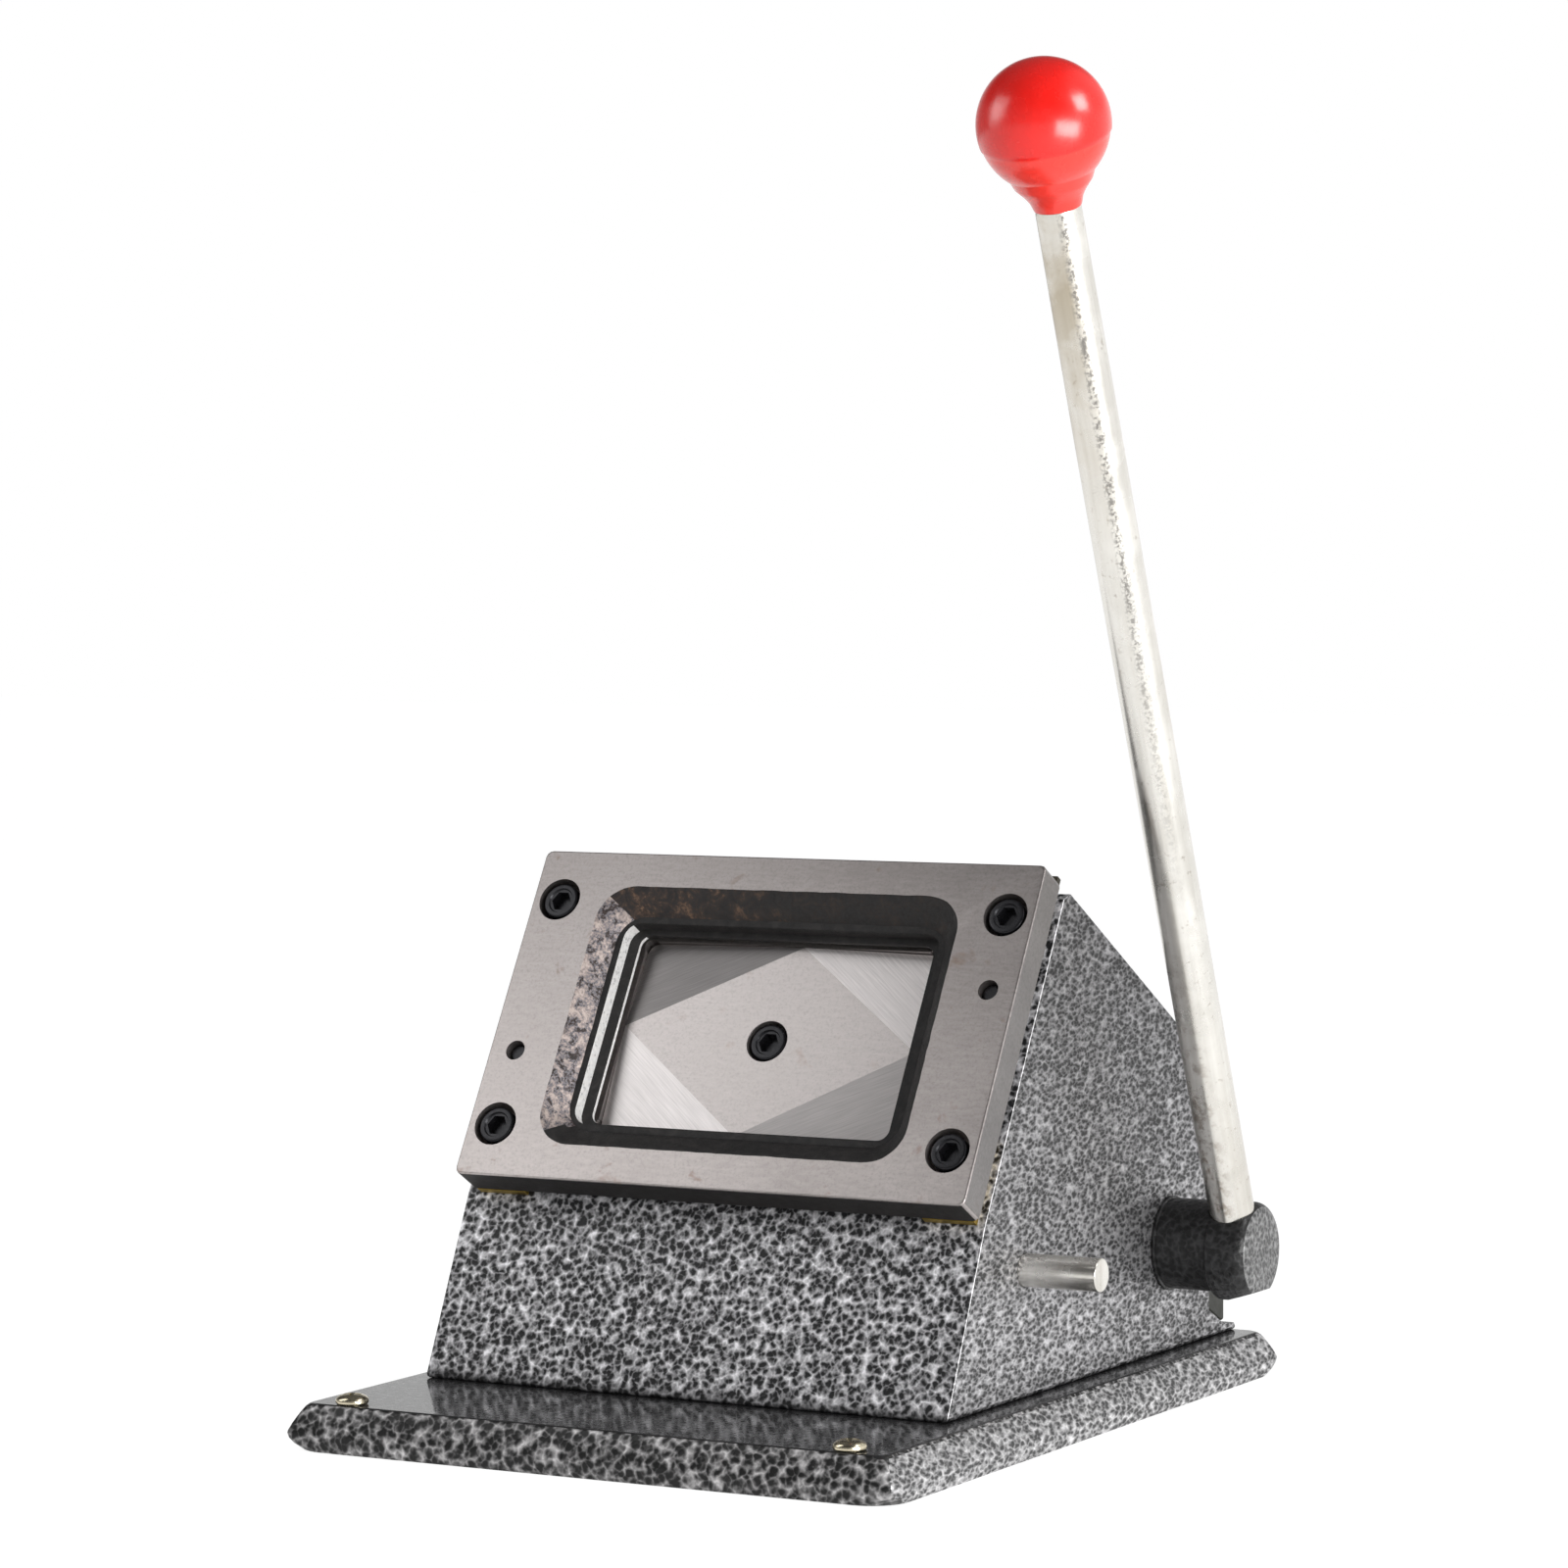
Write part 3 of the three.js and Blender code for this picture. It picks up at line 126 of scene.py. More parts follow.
def turned(name, profile, steps=64):
    """Body of revolution about Z from (radius, height) pairs that start and end on the axis."""
    inner = profile[1:-1]
    bm = bmesh.new()
    turns = [i * math.tau / steps for i in range(steps)]
    rings = [
        [bm.verts.new((r * math.cos(a), r * math.sin(a), z)) for a in turns]
        for r, z in inner
    ]
    for low, high in zip(rings, rings[1:]):
        for i in range(steps):
            j = (i + 1) % steps
            bm.faces.new((low[i], low[j], high[j], high[i]))
    for ring, (_, z), order in ((rings[0], profile[0], -1), (rings[-1], profile[-1], 1)):
        tip = bm.verts.new((0, 0, z))
        for i in range(steps):
            j = (i + 1) % steps
            face = (ring[i], ring[j], tip) if order > 0 else (ring[j], ring[i], tip)
            bm.faces.new(face)
    bmesh.ops.recalc_face_normals(bm, faces=bm.faces)
    return new_object(name, bm)


def hole(radius, low, high, steps=32):
    """Round cutter about Z."""
    return prism("hole", regular(steps, radius), low, high)


def arc(centre_r, centre_z, radius, start, end, steps):
    """Points of a round stretch of a profile, angles in degrees from +r towards +z."""
    points = []
    for i in range(steps + 1):
        angle = math.radians(start + (end - start) * i / steps)
        points.append((centre_r + radius * math.cos(angle), centre_z + radius * math.sin(angle)))
    return points


def box(name, low, high):
    outline = [(high[0], high[1]), (low[0], high[1]), (low[0], low[1]), (high[0], low[1])]
    return prism(name, outline, low[2], high[2])


def move(obj, matrix):
    obj.data.transform(matrix)
    return obj


def moved(obj, x, y, z=0.0):
    return move(obj, Matrix.Translation((x, y, z)))


def settle(obj):
    """Applies the object's modifiers."""
    view = bpy.context.evaluated_depsgraph_get()
    mesh = bpy.data.meshes.new_from_object(obj.evaluated_get(view))
    obj.modifiers.clear()
    obj.data = mesh
    return obj


def cut(obj, *cutters, operation="DIFFERENCE"):
    for cutter in cutters:
        tool = obj.modifiers.new("cut", "BOOLEAN")
        tool.operation = operation
        tool.solver = "EXACT"
        tool.object = cutter
    settle(obj)
    for cutter in cutters:
        bpy.data.objects.remove(cutter)
    return obj


def bevel(obj, width, segments=3, angle=30):
    tool = obj.modifiers.new("bevel", "BEVEL")
    tool.width = width
    tool.segments = segments
    tool.limit_method = "ANGLE"
    tool.angle_limit = math.radians(angle)
    tool.use_clamp_overlap = True
    return settle(obj)


def shade(obj, angle=35):
    obj.data.shade_smooth()
    obj.data.set_sharp_from_angle(angle=math.radians(angle))
    tool = obj.modifiers.new("normals", "WEIGHTED_NORMAL")
    tool.keep_sharp = True
    return settle(obj)


def dress(obj, material, body, slot, *nodes):
    obj.data.materials.clear()
    obj.data.materials.append(material)
    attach(obj, body)
    if nodes:
        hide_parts(*nodes)
    return obj


# Materials
HAMMER_DEPTH = 0.6 * MM
COAT_SHARE = 0.3
SIDE_SQUEEZE = (1, 0.72, 1.45)

# Level direction to the right in the photograph, as weights of x and y
ACROSS = (0.88, 0.48)


class Recipe:
    """A material's nodes, added one by one and linked by their sockets."""

    def __init__(self, name):
        self.material = bpy.data.materials.new(name)
        self.material.use_nodes = True
        self.tree = self.material.node_tree
        self.shader = self.tree.nodes["Principled BSDF"]
        self.place = self.add("ShaderNodeTexCoord").outputs["Object"]

    def add(self, kind, inputs=None, **settings):
        node = self.tree.nodes.new(kind)
        for key, value in settings.items():
            setattr(node, key, value)
        for key, value in (inputs or {}).items():
            self.feed(node.inputs[key], value)
        return node

    def feed(self, socket, value):
        if isinstance(value, bpy.types.NodeSocket):
            self.tree.links.new(value, socket)
        else:
            socket.default_value = value

    def set(self, **values):
        for key, value in values.items():
            self.feed(self.shader.inputs[key.replace("_", " ")], value)

    def stretch(self, scale, turn=(0, 0, 0), vector=None):
        inputs = {"Vector": vector or self.place, "Scale": scale, "Rotation": turn}
        return self.add("ShaderNodeMapping", inputs).outputs[0]

    def noise(self, scale, detail=2.0, rough=0.5, distortion=0.0, vector=None):
        node = self.add("ShaderNodeTexNoise", {
            "Vector": vector or self.place,
            "Scale": scale,
            "Detail": detail,
            "Roughness": rough,
            "Distortion": distortion,
        })
        return node.outputs[0]

    def cells(self, scale, vector):
        return self.add("ShaderNodeTexVoronoi", {"Vector": vector, "Scale": scale}).outputs[0]

    def ramp(self, value, stops):
        node = self.add("ShaderNodeValToRGB", {0: value})
        band = node.color_ramp
        while len(band.elements) < len(stops):
            band.elements.new(0.5)
        for element, (at, colour) in zip(band.elements, stops):
            element.position = at
            element.color = (*colour, 1)
        return node.outputs[0]

    def math(self, operation, a, b=0.5):
        return self.add("ShaderNodeMath", {0: a, 1: b}, operation=operation).outputs[0]

    def vector_math(self, operation, inputs):
        return self.add("ShaderNodeVectorMath", inputs, operation=operation).outputs[0]

    def spread(self, value, low, high, to_low=0.0, to_high=1.0):
        node = self.add("ShaderNodeMapRange", {0: value, 1: low, 2: high, 3: to_low, 4: to_high})
        return node.outputs[0]

    def mix(self, share, a, b):
        node = self.add("ShaderNodeMix", data_type="RGBA")
        self.feed(node.inputs[0], share)
        for socket, value in ((node.inputs[6], a), (node.inputs[7], b)):
            self.feed(socket, (*value, 1) if isinstance(value, tuple) else value)
        return node.outputs[2]

    def bump(self, height, distance, strength):
        inputs = {"Height": height, "Distance": distance, "Strength": strength}
        return self.add("ShaderNodeBump", inputs).outputs[0]


def hammertone(name, dark, light, period, low=0.38, high=1.0, bend=1.0, relief=0.4,
               coat=0.15, gloss=0.2, specular=0.2, squeeze=(1, 1, 1), painted_shade=None, metal=(0.0, 0.5)):
    """Hammered enamel: dark dimples in a network of light metal flakes, under a clear skin.

    period is the size of a dimple, low and high are the tones that become dark and light, bend
    keeps the brightest flakes few, squeeze narrows the pattern along each axis, and the height
    fade is painted shade that darkens the enamel with height: from, to, and the share of the
    colour at each.
    """
    m = Recipe(name)
    even = m.place
    m.place = m.stretch(squeeze)
    wander = m.add("ShaderNodeTexNoise", {"Vector": m.place, "Scale": 0.8 / period, "Detail": 1.0})
    push = m.vector_math("SUBTRACT", {0: wander.outputs[1], 1: (0.5, 0.5, 0.5)})
    push = m.vector_math("SCALE", {0: push, "Scale": 1.3 * period})
    cells = m.cells(1 / period, m.vector_math("ADD", {0: m.place, 1: push}))
    blur = m.noise(2.6 / period, 1.0, 0.5, 0.2)
    tone = m.math("ADD", m.math("MULTIPLY", cells, 0.85), m.math("MULTIPLY", blur, 0.3))
    cloud = m.spread(m.noise(24, 2.0, vector=even), 0.3, 0.7, -0.03, 0.03)
    tone = m.math("ADD", tone, cloud)
    flake = m.math("POWER", m.spread(tone, low, high), bend)
    base = m.mix(flake, dark, light)
    # Painted shade: the colour darker with height, as the height fade gives
    if painted_shade:
        height = m.add("ShaderNodeSeparateXYZ", {0: even}).outputs[2]
        base = m.mix(m.spread(height, *painted_shade), (0.0, 0.0, 0.0), base)
    m.set(
        Base_Color=base,
        Metallic=m.spread(flake, 0, 1, *metal),
        Roughness=m.spread(flake, 0, 1, 0.55, 0.42),
        Specular_IOR_Level=specular,
        Coat_Weight=coat,
        Coat_Roughness=gloss,
        Normal=m.bump(tone, HAMMER_DEPTH, relief),
        Coat_Normal=m.bump(tone, HAMMER_DEPTH, relief * COAT_SHARE),
    )
    return m.material


def worn_steel(name, dark, light, rust, stain=1.0, painted_shade=(1.0, 1.0)):
    """Ground steel that has been lying about: fine lines, speckle and brown stains, and a height
    fade that is painted shade.
    """
    m = Recipe(name)
    streak = m.noise(1.0, 3.0, 0.6, vector=m.stretch((220, 900, 900)))
    speck = m.noise(1300, 2.0, 0.7)
    cloud = m.noise(30, 3.0, 0.55)
    tone = m.math("ADD", m.math("MULTIPLY", streak, 0.35), m.math("MULTIPLY", cloud, 0.65))
    base = m.mix(m.spread(tone, 0.36, 0.62), dark, light)
    base = m.mix(m.spread(speck, 0.48, 0.72, 0.0, 0.3), base, tuple(c * 0.5 for c in dark))
    spot = m.spread(m.noise(120, 3.0, 0.65, 0.4), 0.63, 0.75, 0.0, 0.6 * stain)
    base = m.mix(spot, base, rust)
    # Painted shade: the colour darker with height, as the height fade gives
    height = m.add("ShaderNodeSeparateXYZ", {0: m.place}).outputs[2]
    shade_by_height = m.spread(height, 65 * MM, 142 * MM, *painted_shade)
    base = m.mix(shade_by_height, (0.0, 0.0, 0.0), base)
    m.set(
        Base_Color=base,
        Metallic=m.spread(spot, 0, 1, 0.9, 0.35),
        Roughness=m.spread(tone, 0.3, 0.7, 0.31, 0.44),
        Normal=m.bump(m.math("ADD", streak, m.math("MULTIPLY", speck, 0.5)), 0.02 * MM, 0.45),
    )
    return m.material


def rusty_wall(name, stops, period, rough=0.5, metal=0.6, clean_from=None):
    """Torch-cut looking wall of the pocket: blotches of scale, rust and bare steel.

    From the X of clean_from the wall turns to the darkest colour, within 40 mm.
    """
    m = Recipe(name)
    blotch = m.noise(1 / period, 4.0, 0.62, 0.8)
    fine = m.noise(5 / period, 3.0, 0.6, 0.4)
    tone = m.math("ADD", m.math("MULTIPLY", blotch, 0.65), m.math("MULTIPLY", fine, 0.35))
    base = m.ramp(tone, stops)
    if clean_from is not None:
        across = m.add("ShaderNodeSeparateXYZ", {0: m.place}).outputs[0]
        base = m.mix(m.spread(across, clean_from, clean_from + 40 * MM, 0, 0.9), base, stops[0][1])
    m.set(
        Base_Color=base,
        Metallic=m.spread(tone, 0.35, 0.65, 0.1, metal),
        Roughness=m.spread(fine, 0.3, 0.7, rough - 0.1, rough + 0.12),
        Normal=m.bump(tone, 0.35 * MM, 0.6),
    )
    return m.material


def plain_metal(name, colour, rough, metallic=1.0, grain=900, lift=0.01):
    """One colour with fine specks; lift is the height of the grain in mm."""
    m = Recipe(name)
    speck = m.noise(grain, 2.0, 0.6)
    m.set(
        Base_Color=m.mix(m.spread(speck, 0.3, 0.7), tuple(c * 0.8 for c in colour), colour),
        Metallic=metallic,
        Roughness=m.spread(speck, 0.3, 0.7, rough - 0.05, rough + 0.08),
        Normal=m.bump(speck, lift * MM, 0.4),
    )
    return m.material


def nickel_plate(name, tarnished=False):
    """Old nickel on a rolled bar: warm white, cloudy, with a few brown specks."""
    m = Recipe(name)
    cloud = m.noise(60, 4.0, 0.6, 0.4)
    drawn = m.noise(1.0, 3.0, 0.6, vector=m.stretch((260, 260, 16)))
    speck = m.spread(m.noise(420, 3.0, 0.7), 0.62, 0.74)
    base = m.mix(m.spread(cloud, 0.35, 0.65), (0.78, 0.76, 0.71), (0.93, 0.91, 0.86))
    base = m.mix(m.spread(drawn, 0.4, 0.75, 0.0, 0.4), base, (0.42, 0.38, 0.31))
    base = m.mix(m.math("MULTIPLY", speck, 0.4), base, (0.22, 0.15, 0.09))
    if tarnished:
        x, y, height = m.add("ShaderNodeSeparateXYZ", {0: m.place}).outputs
        across = m.math("ADD", m.math("MULTIPLY", x, ACROSS[0]), m.math("MULTIPLY", y, ACROSS[1]))

        # Yellow stain on the left half under the ball: tarnish colour, and painted reflection
        # darkening the half that faces left
        left = m.spread(across, 2 * MM, -1 * MM)
        high = m.math("MULTIPLY", m.spread(height, 200 * MM, 270 * MM), left)
        stain = m.math("MULTIPLY", high, m.spread(cloud, 0.35, 0.6, 0.1, 0.75))
        base = m.mix(stain, base, (0.38, 0.31, 0.2))

        # A line of dark pits up the front
        near = m.math("ABSOLUTE", m.math("SUBTRACT", across, 0.5 * MM))
        band = m.spread(near, 1.8 * MM, 0.4 * MM)
        band = m.math("MULTIPLY", band, m.spread(height, 100 * MM, 200 * MM))
        grit = m.spread(m.noise(900, 3.0, 0.7), 0.46, 0.58, 0.0, 0.8)
        base = m.mix(m.math("MULTIPLY", band, grit), base, (0.16, 0.15, 0.14))

        # Brown patches on the left side near the foot: tarnish colour, and painted reflection
        # darkening the side that faces left
        patch = m.spread(m.noise(230, 4.0, 0.7), 0.5, 0.62, 0.0, 0.75)
        left = m.spread(across, 1 * MM, -3 * MM)
        low = m.math("MULTIPLY", m.spread(height, 100 * MM, 20 * MM), left)
        base = m.mix(m.math("MULTIPLY", low, patch), base, (0.2, 0.13, 0.08))
    m.set(
        Base_Color=base,
        Metallic=0.95,
        Roughness=m.spread(cloud, 0.3, 0.7, 0.2, 0.36),
        Normal=m.bump(m.math("ADD", drawn, m.math("MULTIPLY", cloud, 0.5)), 0.03 * MM, 0.35),
    )
    return m.material


def moulded(name, colour):
    """Glossy moulded plastic that lets a little light in."""
    m = Recipe(name)
    cloud = m.noise(40, 2.0)
    m.set(
        Base_Color=m.mix(m.spread(cloud, 0.3, 0.7), tuple(c * 0.9 for c in colour), colour),
        Roughness=m.spread(m.noise(300, 2.0), 0.3, 0.7, 0.22, 0.3),
        Subsurface_Weight=0.08,
        Subsurface_Radius=(4 * MM, 1 * MM, 1 * MM),
        Coat_Weight=0.4,
        Coat_Roughness=0.2,
        Normal=m.bump(m.noise(500, 2.0), 0.01 * MM, 0.2),
    )
    return m.material


def facet_steel(name, tone, turn, rough):
    """A corner facet of the punch, ground along its own direction on the slope; its tone is
    painted light.
    """
    m = Recipe(name)
    lines = m.stretch((1, 1, 1), (-PLATE_TILT, 0, 0))
    lines = m.stretch((1, 1, 1), (0, 0, math.radians(turn)), lines)
    lines = m.stretch((90, 2600, 90), vector=lines)
    streak = m.noise(1.0, 3.0, 0.6, vector=lines)
    dark, light = [
        tuple(min(tone * c * share, 1.0) for c in (1, 0.95, 0.94)) for share in (0.86, 1.1)
    ]
    m.set(
        Base_Color=m.mix(m.spread(streak, 0.3, 0.7), dark, light),
        Metallic=0.85,
        Roughness=rough,
        Normal=m.bump(streak, 0.02 * MM, 0.5),
    )
    return m.material


# Its height fade is painted shade: the enamel darker in the lowest 3.5 mm, where the housing
# stands on the base
GREY_HAMMER = hammertone(
    "grey_hammertone", (0.014, 0.014, 0.015), (0.96, 0.95, 0.98), 1.75 * MM,
    low=0.41, bend=1.4, relief=0.45, painted_shade=(11.5 * MM, 15 * MM, 0.12, 1.0),
)
# Light copy of the grey enamel for the bevel at the housing's front right edge: a painted
# highlight
EDGE_GLINT_HAMMER = hammertone(
    "edge_glint_hammertone", (0.45, 0.45, 0.45), (0.95, 0.94, 0.96), 1.75 * MM,
    low=0.34, high=0.68, coat=0.4, specular=0.4,
)
BASE_HAMMER = hammertone(
    "base_hammertone", (0.008, 0.008, 0.008), (0.68, 0.665, 0.67), 2.1 * MM,
    low=0.4, bend=1.8, relief=0.45, coat=0.2,
)
# Near-black, glossier copy of the base enamel for the top face: painted shade
BASE_TOP_SHADED = hammertone(
    "base_top_enamel_shaded", (0.003, 0.003, 0.003), (0.03, 0.03, 0.032), 1.6 * MM,
    low=0.44, high=0.9, relief=0.1, coat=0.78, gloss=0.04, specular=0.3,
)
# Lighter, metallic copy of the grey enamel for the side walls: painted light; its height fade,
# darker towards the top, is painted shade
SIDE_WALL_LIT = hammertone(
    "side_wall_enamel_lit", (0.06, 0.06, 0.061), (0.78, 0.77, 0.79), 1.65 * MM,
    bend=1.2, gloss=0.25, squeeze=SIDE_SQUEEZE, painted_shade=(30 * MM, 110 * MM, 1.0, 0.62),
    metal=(0.85, 1.0),
)
# Lighter, metallic copy of the base enamel for its left and right faces: painted light
BASE_SIDE_LIT = hammertone(
    "base_side_enamel_lit", (0.08, 0.08, 0.081), (0.95, 0.94, 0.95), 1.75 * MM,
    bend=1.2, gloss=0.25, squeeze=SIDE_SQUEEZE, metal=(0.85, 1.0),
)
# Lighter copy of the black enamel for the hub's end face: painted light
HUB_END_LIT = hammertone(
    "hub_end_enamel_lit", (0.05, 0.05, 0.05), (0.3, 0.3, 0.3), 1.3 * MM,
    low=0.4, high=0.9, coat=0.3, specular=0.3,
)
BLACK_HAMMER = hammertone(
    "black_hammertone", (0.004, 0.004, 0.004), (0.045, 0.045, 0.046), 1.7 * MM,
    low=0.47, high=0.9, relief=0.5, coat=0.3, specular=0.3,
)
MILL_SCALE = plain_metal("mill_scale", (0.02, 0.018, 0.017), 0.6, 0.2, 400, 0.05)
# Its height fade is painted shade: the die plate darker towards its top
DIE_STEEL = worn_steel(
    "die_steel", (0.35, 0.32, 0.31), (0.5, 0.46, 0.448), (0.2, 0.1, 0.055), painted_shade=(1.0, 0.66)
)
PUNCH_STEEL = worn_steel(
    "punch_steel", (0.39, 0.362, 0.352), (0.52, 0.483, 0.474), (0.3, 0.2, 0.15), stain=0.5
)
# The pocket's walls facing +x get a light version of the scale and rust, painted light; the other
# walls get dark versions, painted shade
POCKET_LIT = rusty_wall("pocket_left_wall_lit", [
    (0.38, (0.015, 0.01, 0.009)),
    (0.43, (0.06, 0.04, 0.035)),
    (0.47, (0.15, 0.15, 0.17)),
    (0.51, (0.27, 0.225, 0.215)),
    (0.6, (0.52, 0.44, 0.4)),
], 3.2 * MM)
POCKET_SHADED = rusty_wall("pocket_shaded_walls", [
    (0.35, (0.007, 0.0065, 0.0065)),
    (0.5, (0.013, 0.012, 0.012)),
    (0.65, (0.026, 0.023, 0.022)),
], 3 * MM, 0.65, 0.1)
# The rust on the upper wall is its own; its darkness is painted shade
POCKET_SHADED_RUST = rusty_wall("pocket_upper_wall_shaded", [
    (0.36, (0.007, 0.006, 0.006)),
    (0.46, (0.018, 0.013, 0.012)),
    (0.54, (0.045, 0.028, 0.02)),
    (0.66, (0.2, 0.115, 0.07)),
], 4.5 * MM, 0.65, 0.1, clean_from=-35 * MM)
# Near white for the walls under the pocket that face +x: painted reflection on ground steel
LIP_REFLECTION = plain_metal("ground_lip_reflection", (0.95, 0.94, 0.92), 0.3, 0.2)
# Darker copy of the die steel for the plate's right side face: painted shade
SIDE_STEEL_SHADED = worn_steel(
    "die_side_steel_shaded", (0.2, 0.19, 0.187), (0.29, 0.275, 0.27), (0.12, 0.07, 0.05), stain=0.4
)
GROUND_STEEL = plain_metal("ground_steel", (0.55, 0.53, 0.51), 0.3)
BLACK_STEEL = plain_metal("black_steel", (0.018, 0.018, 0.021), 0.3, 0.6)
SPRING_STEEL = plain_metal("spring_steel", (0.12, 0.12, 0.13), 0.4)
BRASS = plain_metal("rolled_brass", (0.5, 0.36, 0.09), 0.4)
DARK_BRASS = plain_metal("dark_brass", (0.07, 0.062, 0.045), 0.4)
BRONZE = plain_metal("bush_bronze", (0.35, 0.2, 0.09), 0.45)
# Near-black olive for the rear cover
OLIVE = plain_metal("dark_olive", (0.018, 0.019, 0.013), 0.5, 0.1, 500, 0.03)
PAN_FINISH = plain_metal("pan_screw_nickel", (0.78, 0.7, 0.52), 0.22, grain=700)
NICKEL = nickel_plate("nickel")
ROD_NICKEL = nickel_plate("rod_nickel", tarnished=True)
RED = moulded("red_plastic", (0.82, 0.01, 0.006))
# Lighter red for the ball's lower moulding: painted reflection of the floor
RED_LOW_LIT = moulded("red_plastic_low_lit", (0.88, 0.035, 0.022))

# Sides of the punch's face that each facet lies on, as signs of x and y
# Each facet's tone is painted light: how light its corner of the face looks, from the lightest
# upper right to the darkest upper left
FACETS = {
    (1, 1): facet_steel("facet_upper_right", 0.88, 38, 0.42),
    (1, -1): facet_steel("facet_lower_right", 0.47, -25, 0.45),
    (-1, -1): facet_steel("facet_lower_left", 0.6, 38, 0.4),
    (-1, 1): facet_steel("facet_upper_left", 0.24, -25, 0.45),
}

SLOT_FINISH = {
    "hammertone_grey": GREY_HAMMER,
    "hammertone_black": BLACK_HAMMER,
    "nickel": NICKEL,
    "rear_paint": OLIVE,
    "die_steel": DIE_STEEL,
    "ground_steel": GROUND_STEEL,
    "black_steel": BLACK_STEEL,
    "brass": BRASS,
    "bronze": BRONZE,
    "spring_steel": SPRING_STEEL,
    "red_plastic": RED,
}


def finish_frame():
    """Every CAD node gets its slot's material, also the ones that stay hidden inside."""
    for part in frame["record"]["subparts"]:
        mesh = frame["nodes"][part["node"]].data
        mesh.materials.clear()
        mesh.materials.append(SLOT_FINISH[part["material_slot"]])


# Base plate
BASE_WIDTH = 170 * MM
BASE_LENGTH = 230 * MM
BASE_HEIGHT = 11.5 * MM
BASE_SCREW = (70 * MM, 107 * MM)
BASE_SCREW_HOLE = 2.55 * MM
FOOT_SCREWS = [(x * MM, y * MM) for x in (-70, 70) for y in (-40.3, 80)]
FOOT_SCREW_HOLE = 2.65 * MM
FOOT_HEAD_HOLE = 4.4 * MM
FOOT_HEAD_DEPTH = 5.75 * MM

# Height, inset of the outline and radius of its corners, all in mm
BASE_LEVELS = [
    (0, 0.5, 10), (0.6, 0.2, 9), (1.6, 0.05, 6), (3, 0.01, 3), (4.2, 0, 2), (4.8, 0.12, 2),
    (6.4, 0.8, 2.1), (8, 1.6, 2.3), (9.6, 2.5, 2.5), (10.7, 3.2, 2.7), (11.25, 3.75, 2.9),
    (11.5, 4.4, 3),
]


def base_plate():
    """Cast plate: pointed corners half way up, cut away below, a wide round edge above."""
    outlines = [
        rounded(BASE_WIDTH - 2 * inset * MM, BASE_LENGTH - 2 * inset * MM, radius * MM, 8)
        for _, inset, radius in BASE_LEVELS
    ]
    plate = loft("base_plate_skin", outlines, [z * MM for z, _, _ in BASE_LEVELS])
    through = BASE_HEIGHT + OVER
    holes = [
        moved(hole(BASE_SCREW_HOLE, -OVER, through, 24), side * BASE_SCREW[0], -BASE_SCREW[1])
        for side in (-1, 1)
    ]
    for x, y in FOOT_SCREWS:
        holes.append(moved(hole(FOOT_SCREW_HOLE, -OVER, through, 24), x, y))
        holes.append(moved(hole(FOOT_HEAD_HOLE, -OVER, FOOT_HEAD_DEPTH), x, y))
    cut(plate, *holes)
    shade(plate, 50)
    dress(plate, BASE_HAMMER, "body", "hammertone_grey", "base_plate")
    plate.data.materials.append(BASE_TOP_SHADED)
    plate.data.materials.append(BASE_SIDE_LIT)
    # Painted light: the top gets the shaded copy of the enamel and the left and right faces the
    # lit one
    for polygon in plate.data.polygons:
        if polygon.normal.z > 0.8:
            polygon.material_index = 1
        elif abs(polygon.normal.x) > 0.75:
            polygon.material_index = 2


# Screws
# Radius and height of the head, radius of the shank, radius and depth of the socket
DIE_SCREW_SIZES = (4.9 * MM, 5.8 * MM, 3 * MM, 2.9 * MM, 3 * MM)
PUNCH_SCREW_SIZES = (5 * MM, 6 * MM, 3 * MM, 2.9 * MM, 3 * MM)
COVER_SCREW_SIZES = (3.6 * MM, 2 * MM, 2 * MM, 1.45 * MM, 1 * MM)

PAN_RADIUS = 4.15 * MM
PAN_RISE = 2.5 * MM
PAN_RIM = 0.6 * MM
PAN_SHANK = 2.4 * MM
PAN_TIP = 1.5 * MM
PAN_CHAMFER = 0.3 * MM
SLOT_HALF_LENGTH = 2.5 * MM
SLOT_HALF_WIDTH = 0.55 * MM
SLOT_DEPTH = 1.6 * MM
SLOT_TURNS = (25, 115)


def cap_screw(name, matrix, sizes, top, tip):
    """Socket cap screw about Z, its head top and its tip at the heights given."""
    head, height, shank, socket, depth = sizes
    edge = 0.12 * head
    under = top - height
    profile = [(0, tip), (shank * 0.8, tip), (shank, tip + shank * 0.25)]
    profile += [(shank, under), (head, under)]
    profile += arc(head - edge, top - edge, edge, 0, 90, 4)
    profile += [(socket * 1.22, top), (socket * 1.12, top - 0.1 * head), (0, top - 0.1 * head)]
    screw = turned(name, profile, 48)
    cut(screw, prism("socket", regular(6, socket), top - depth, top + OVER))
    shade(screw, 30)
    move(screw, matrix)
    return screw


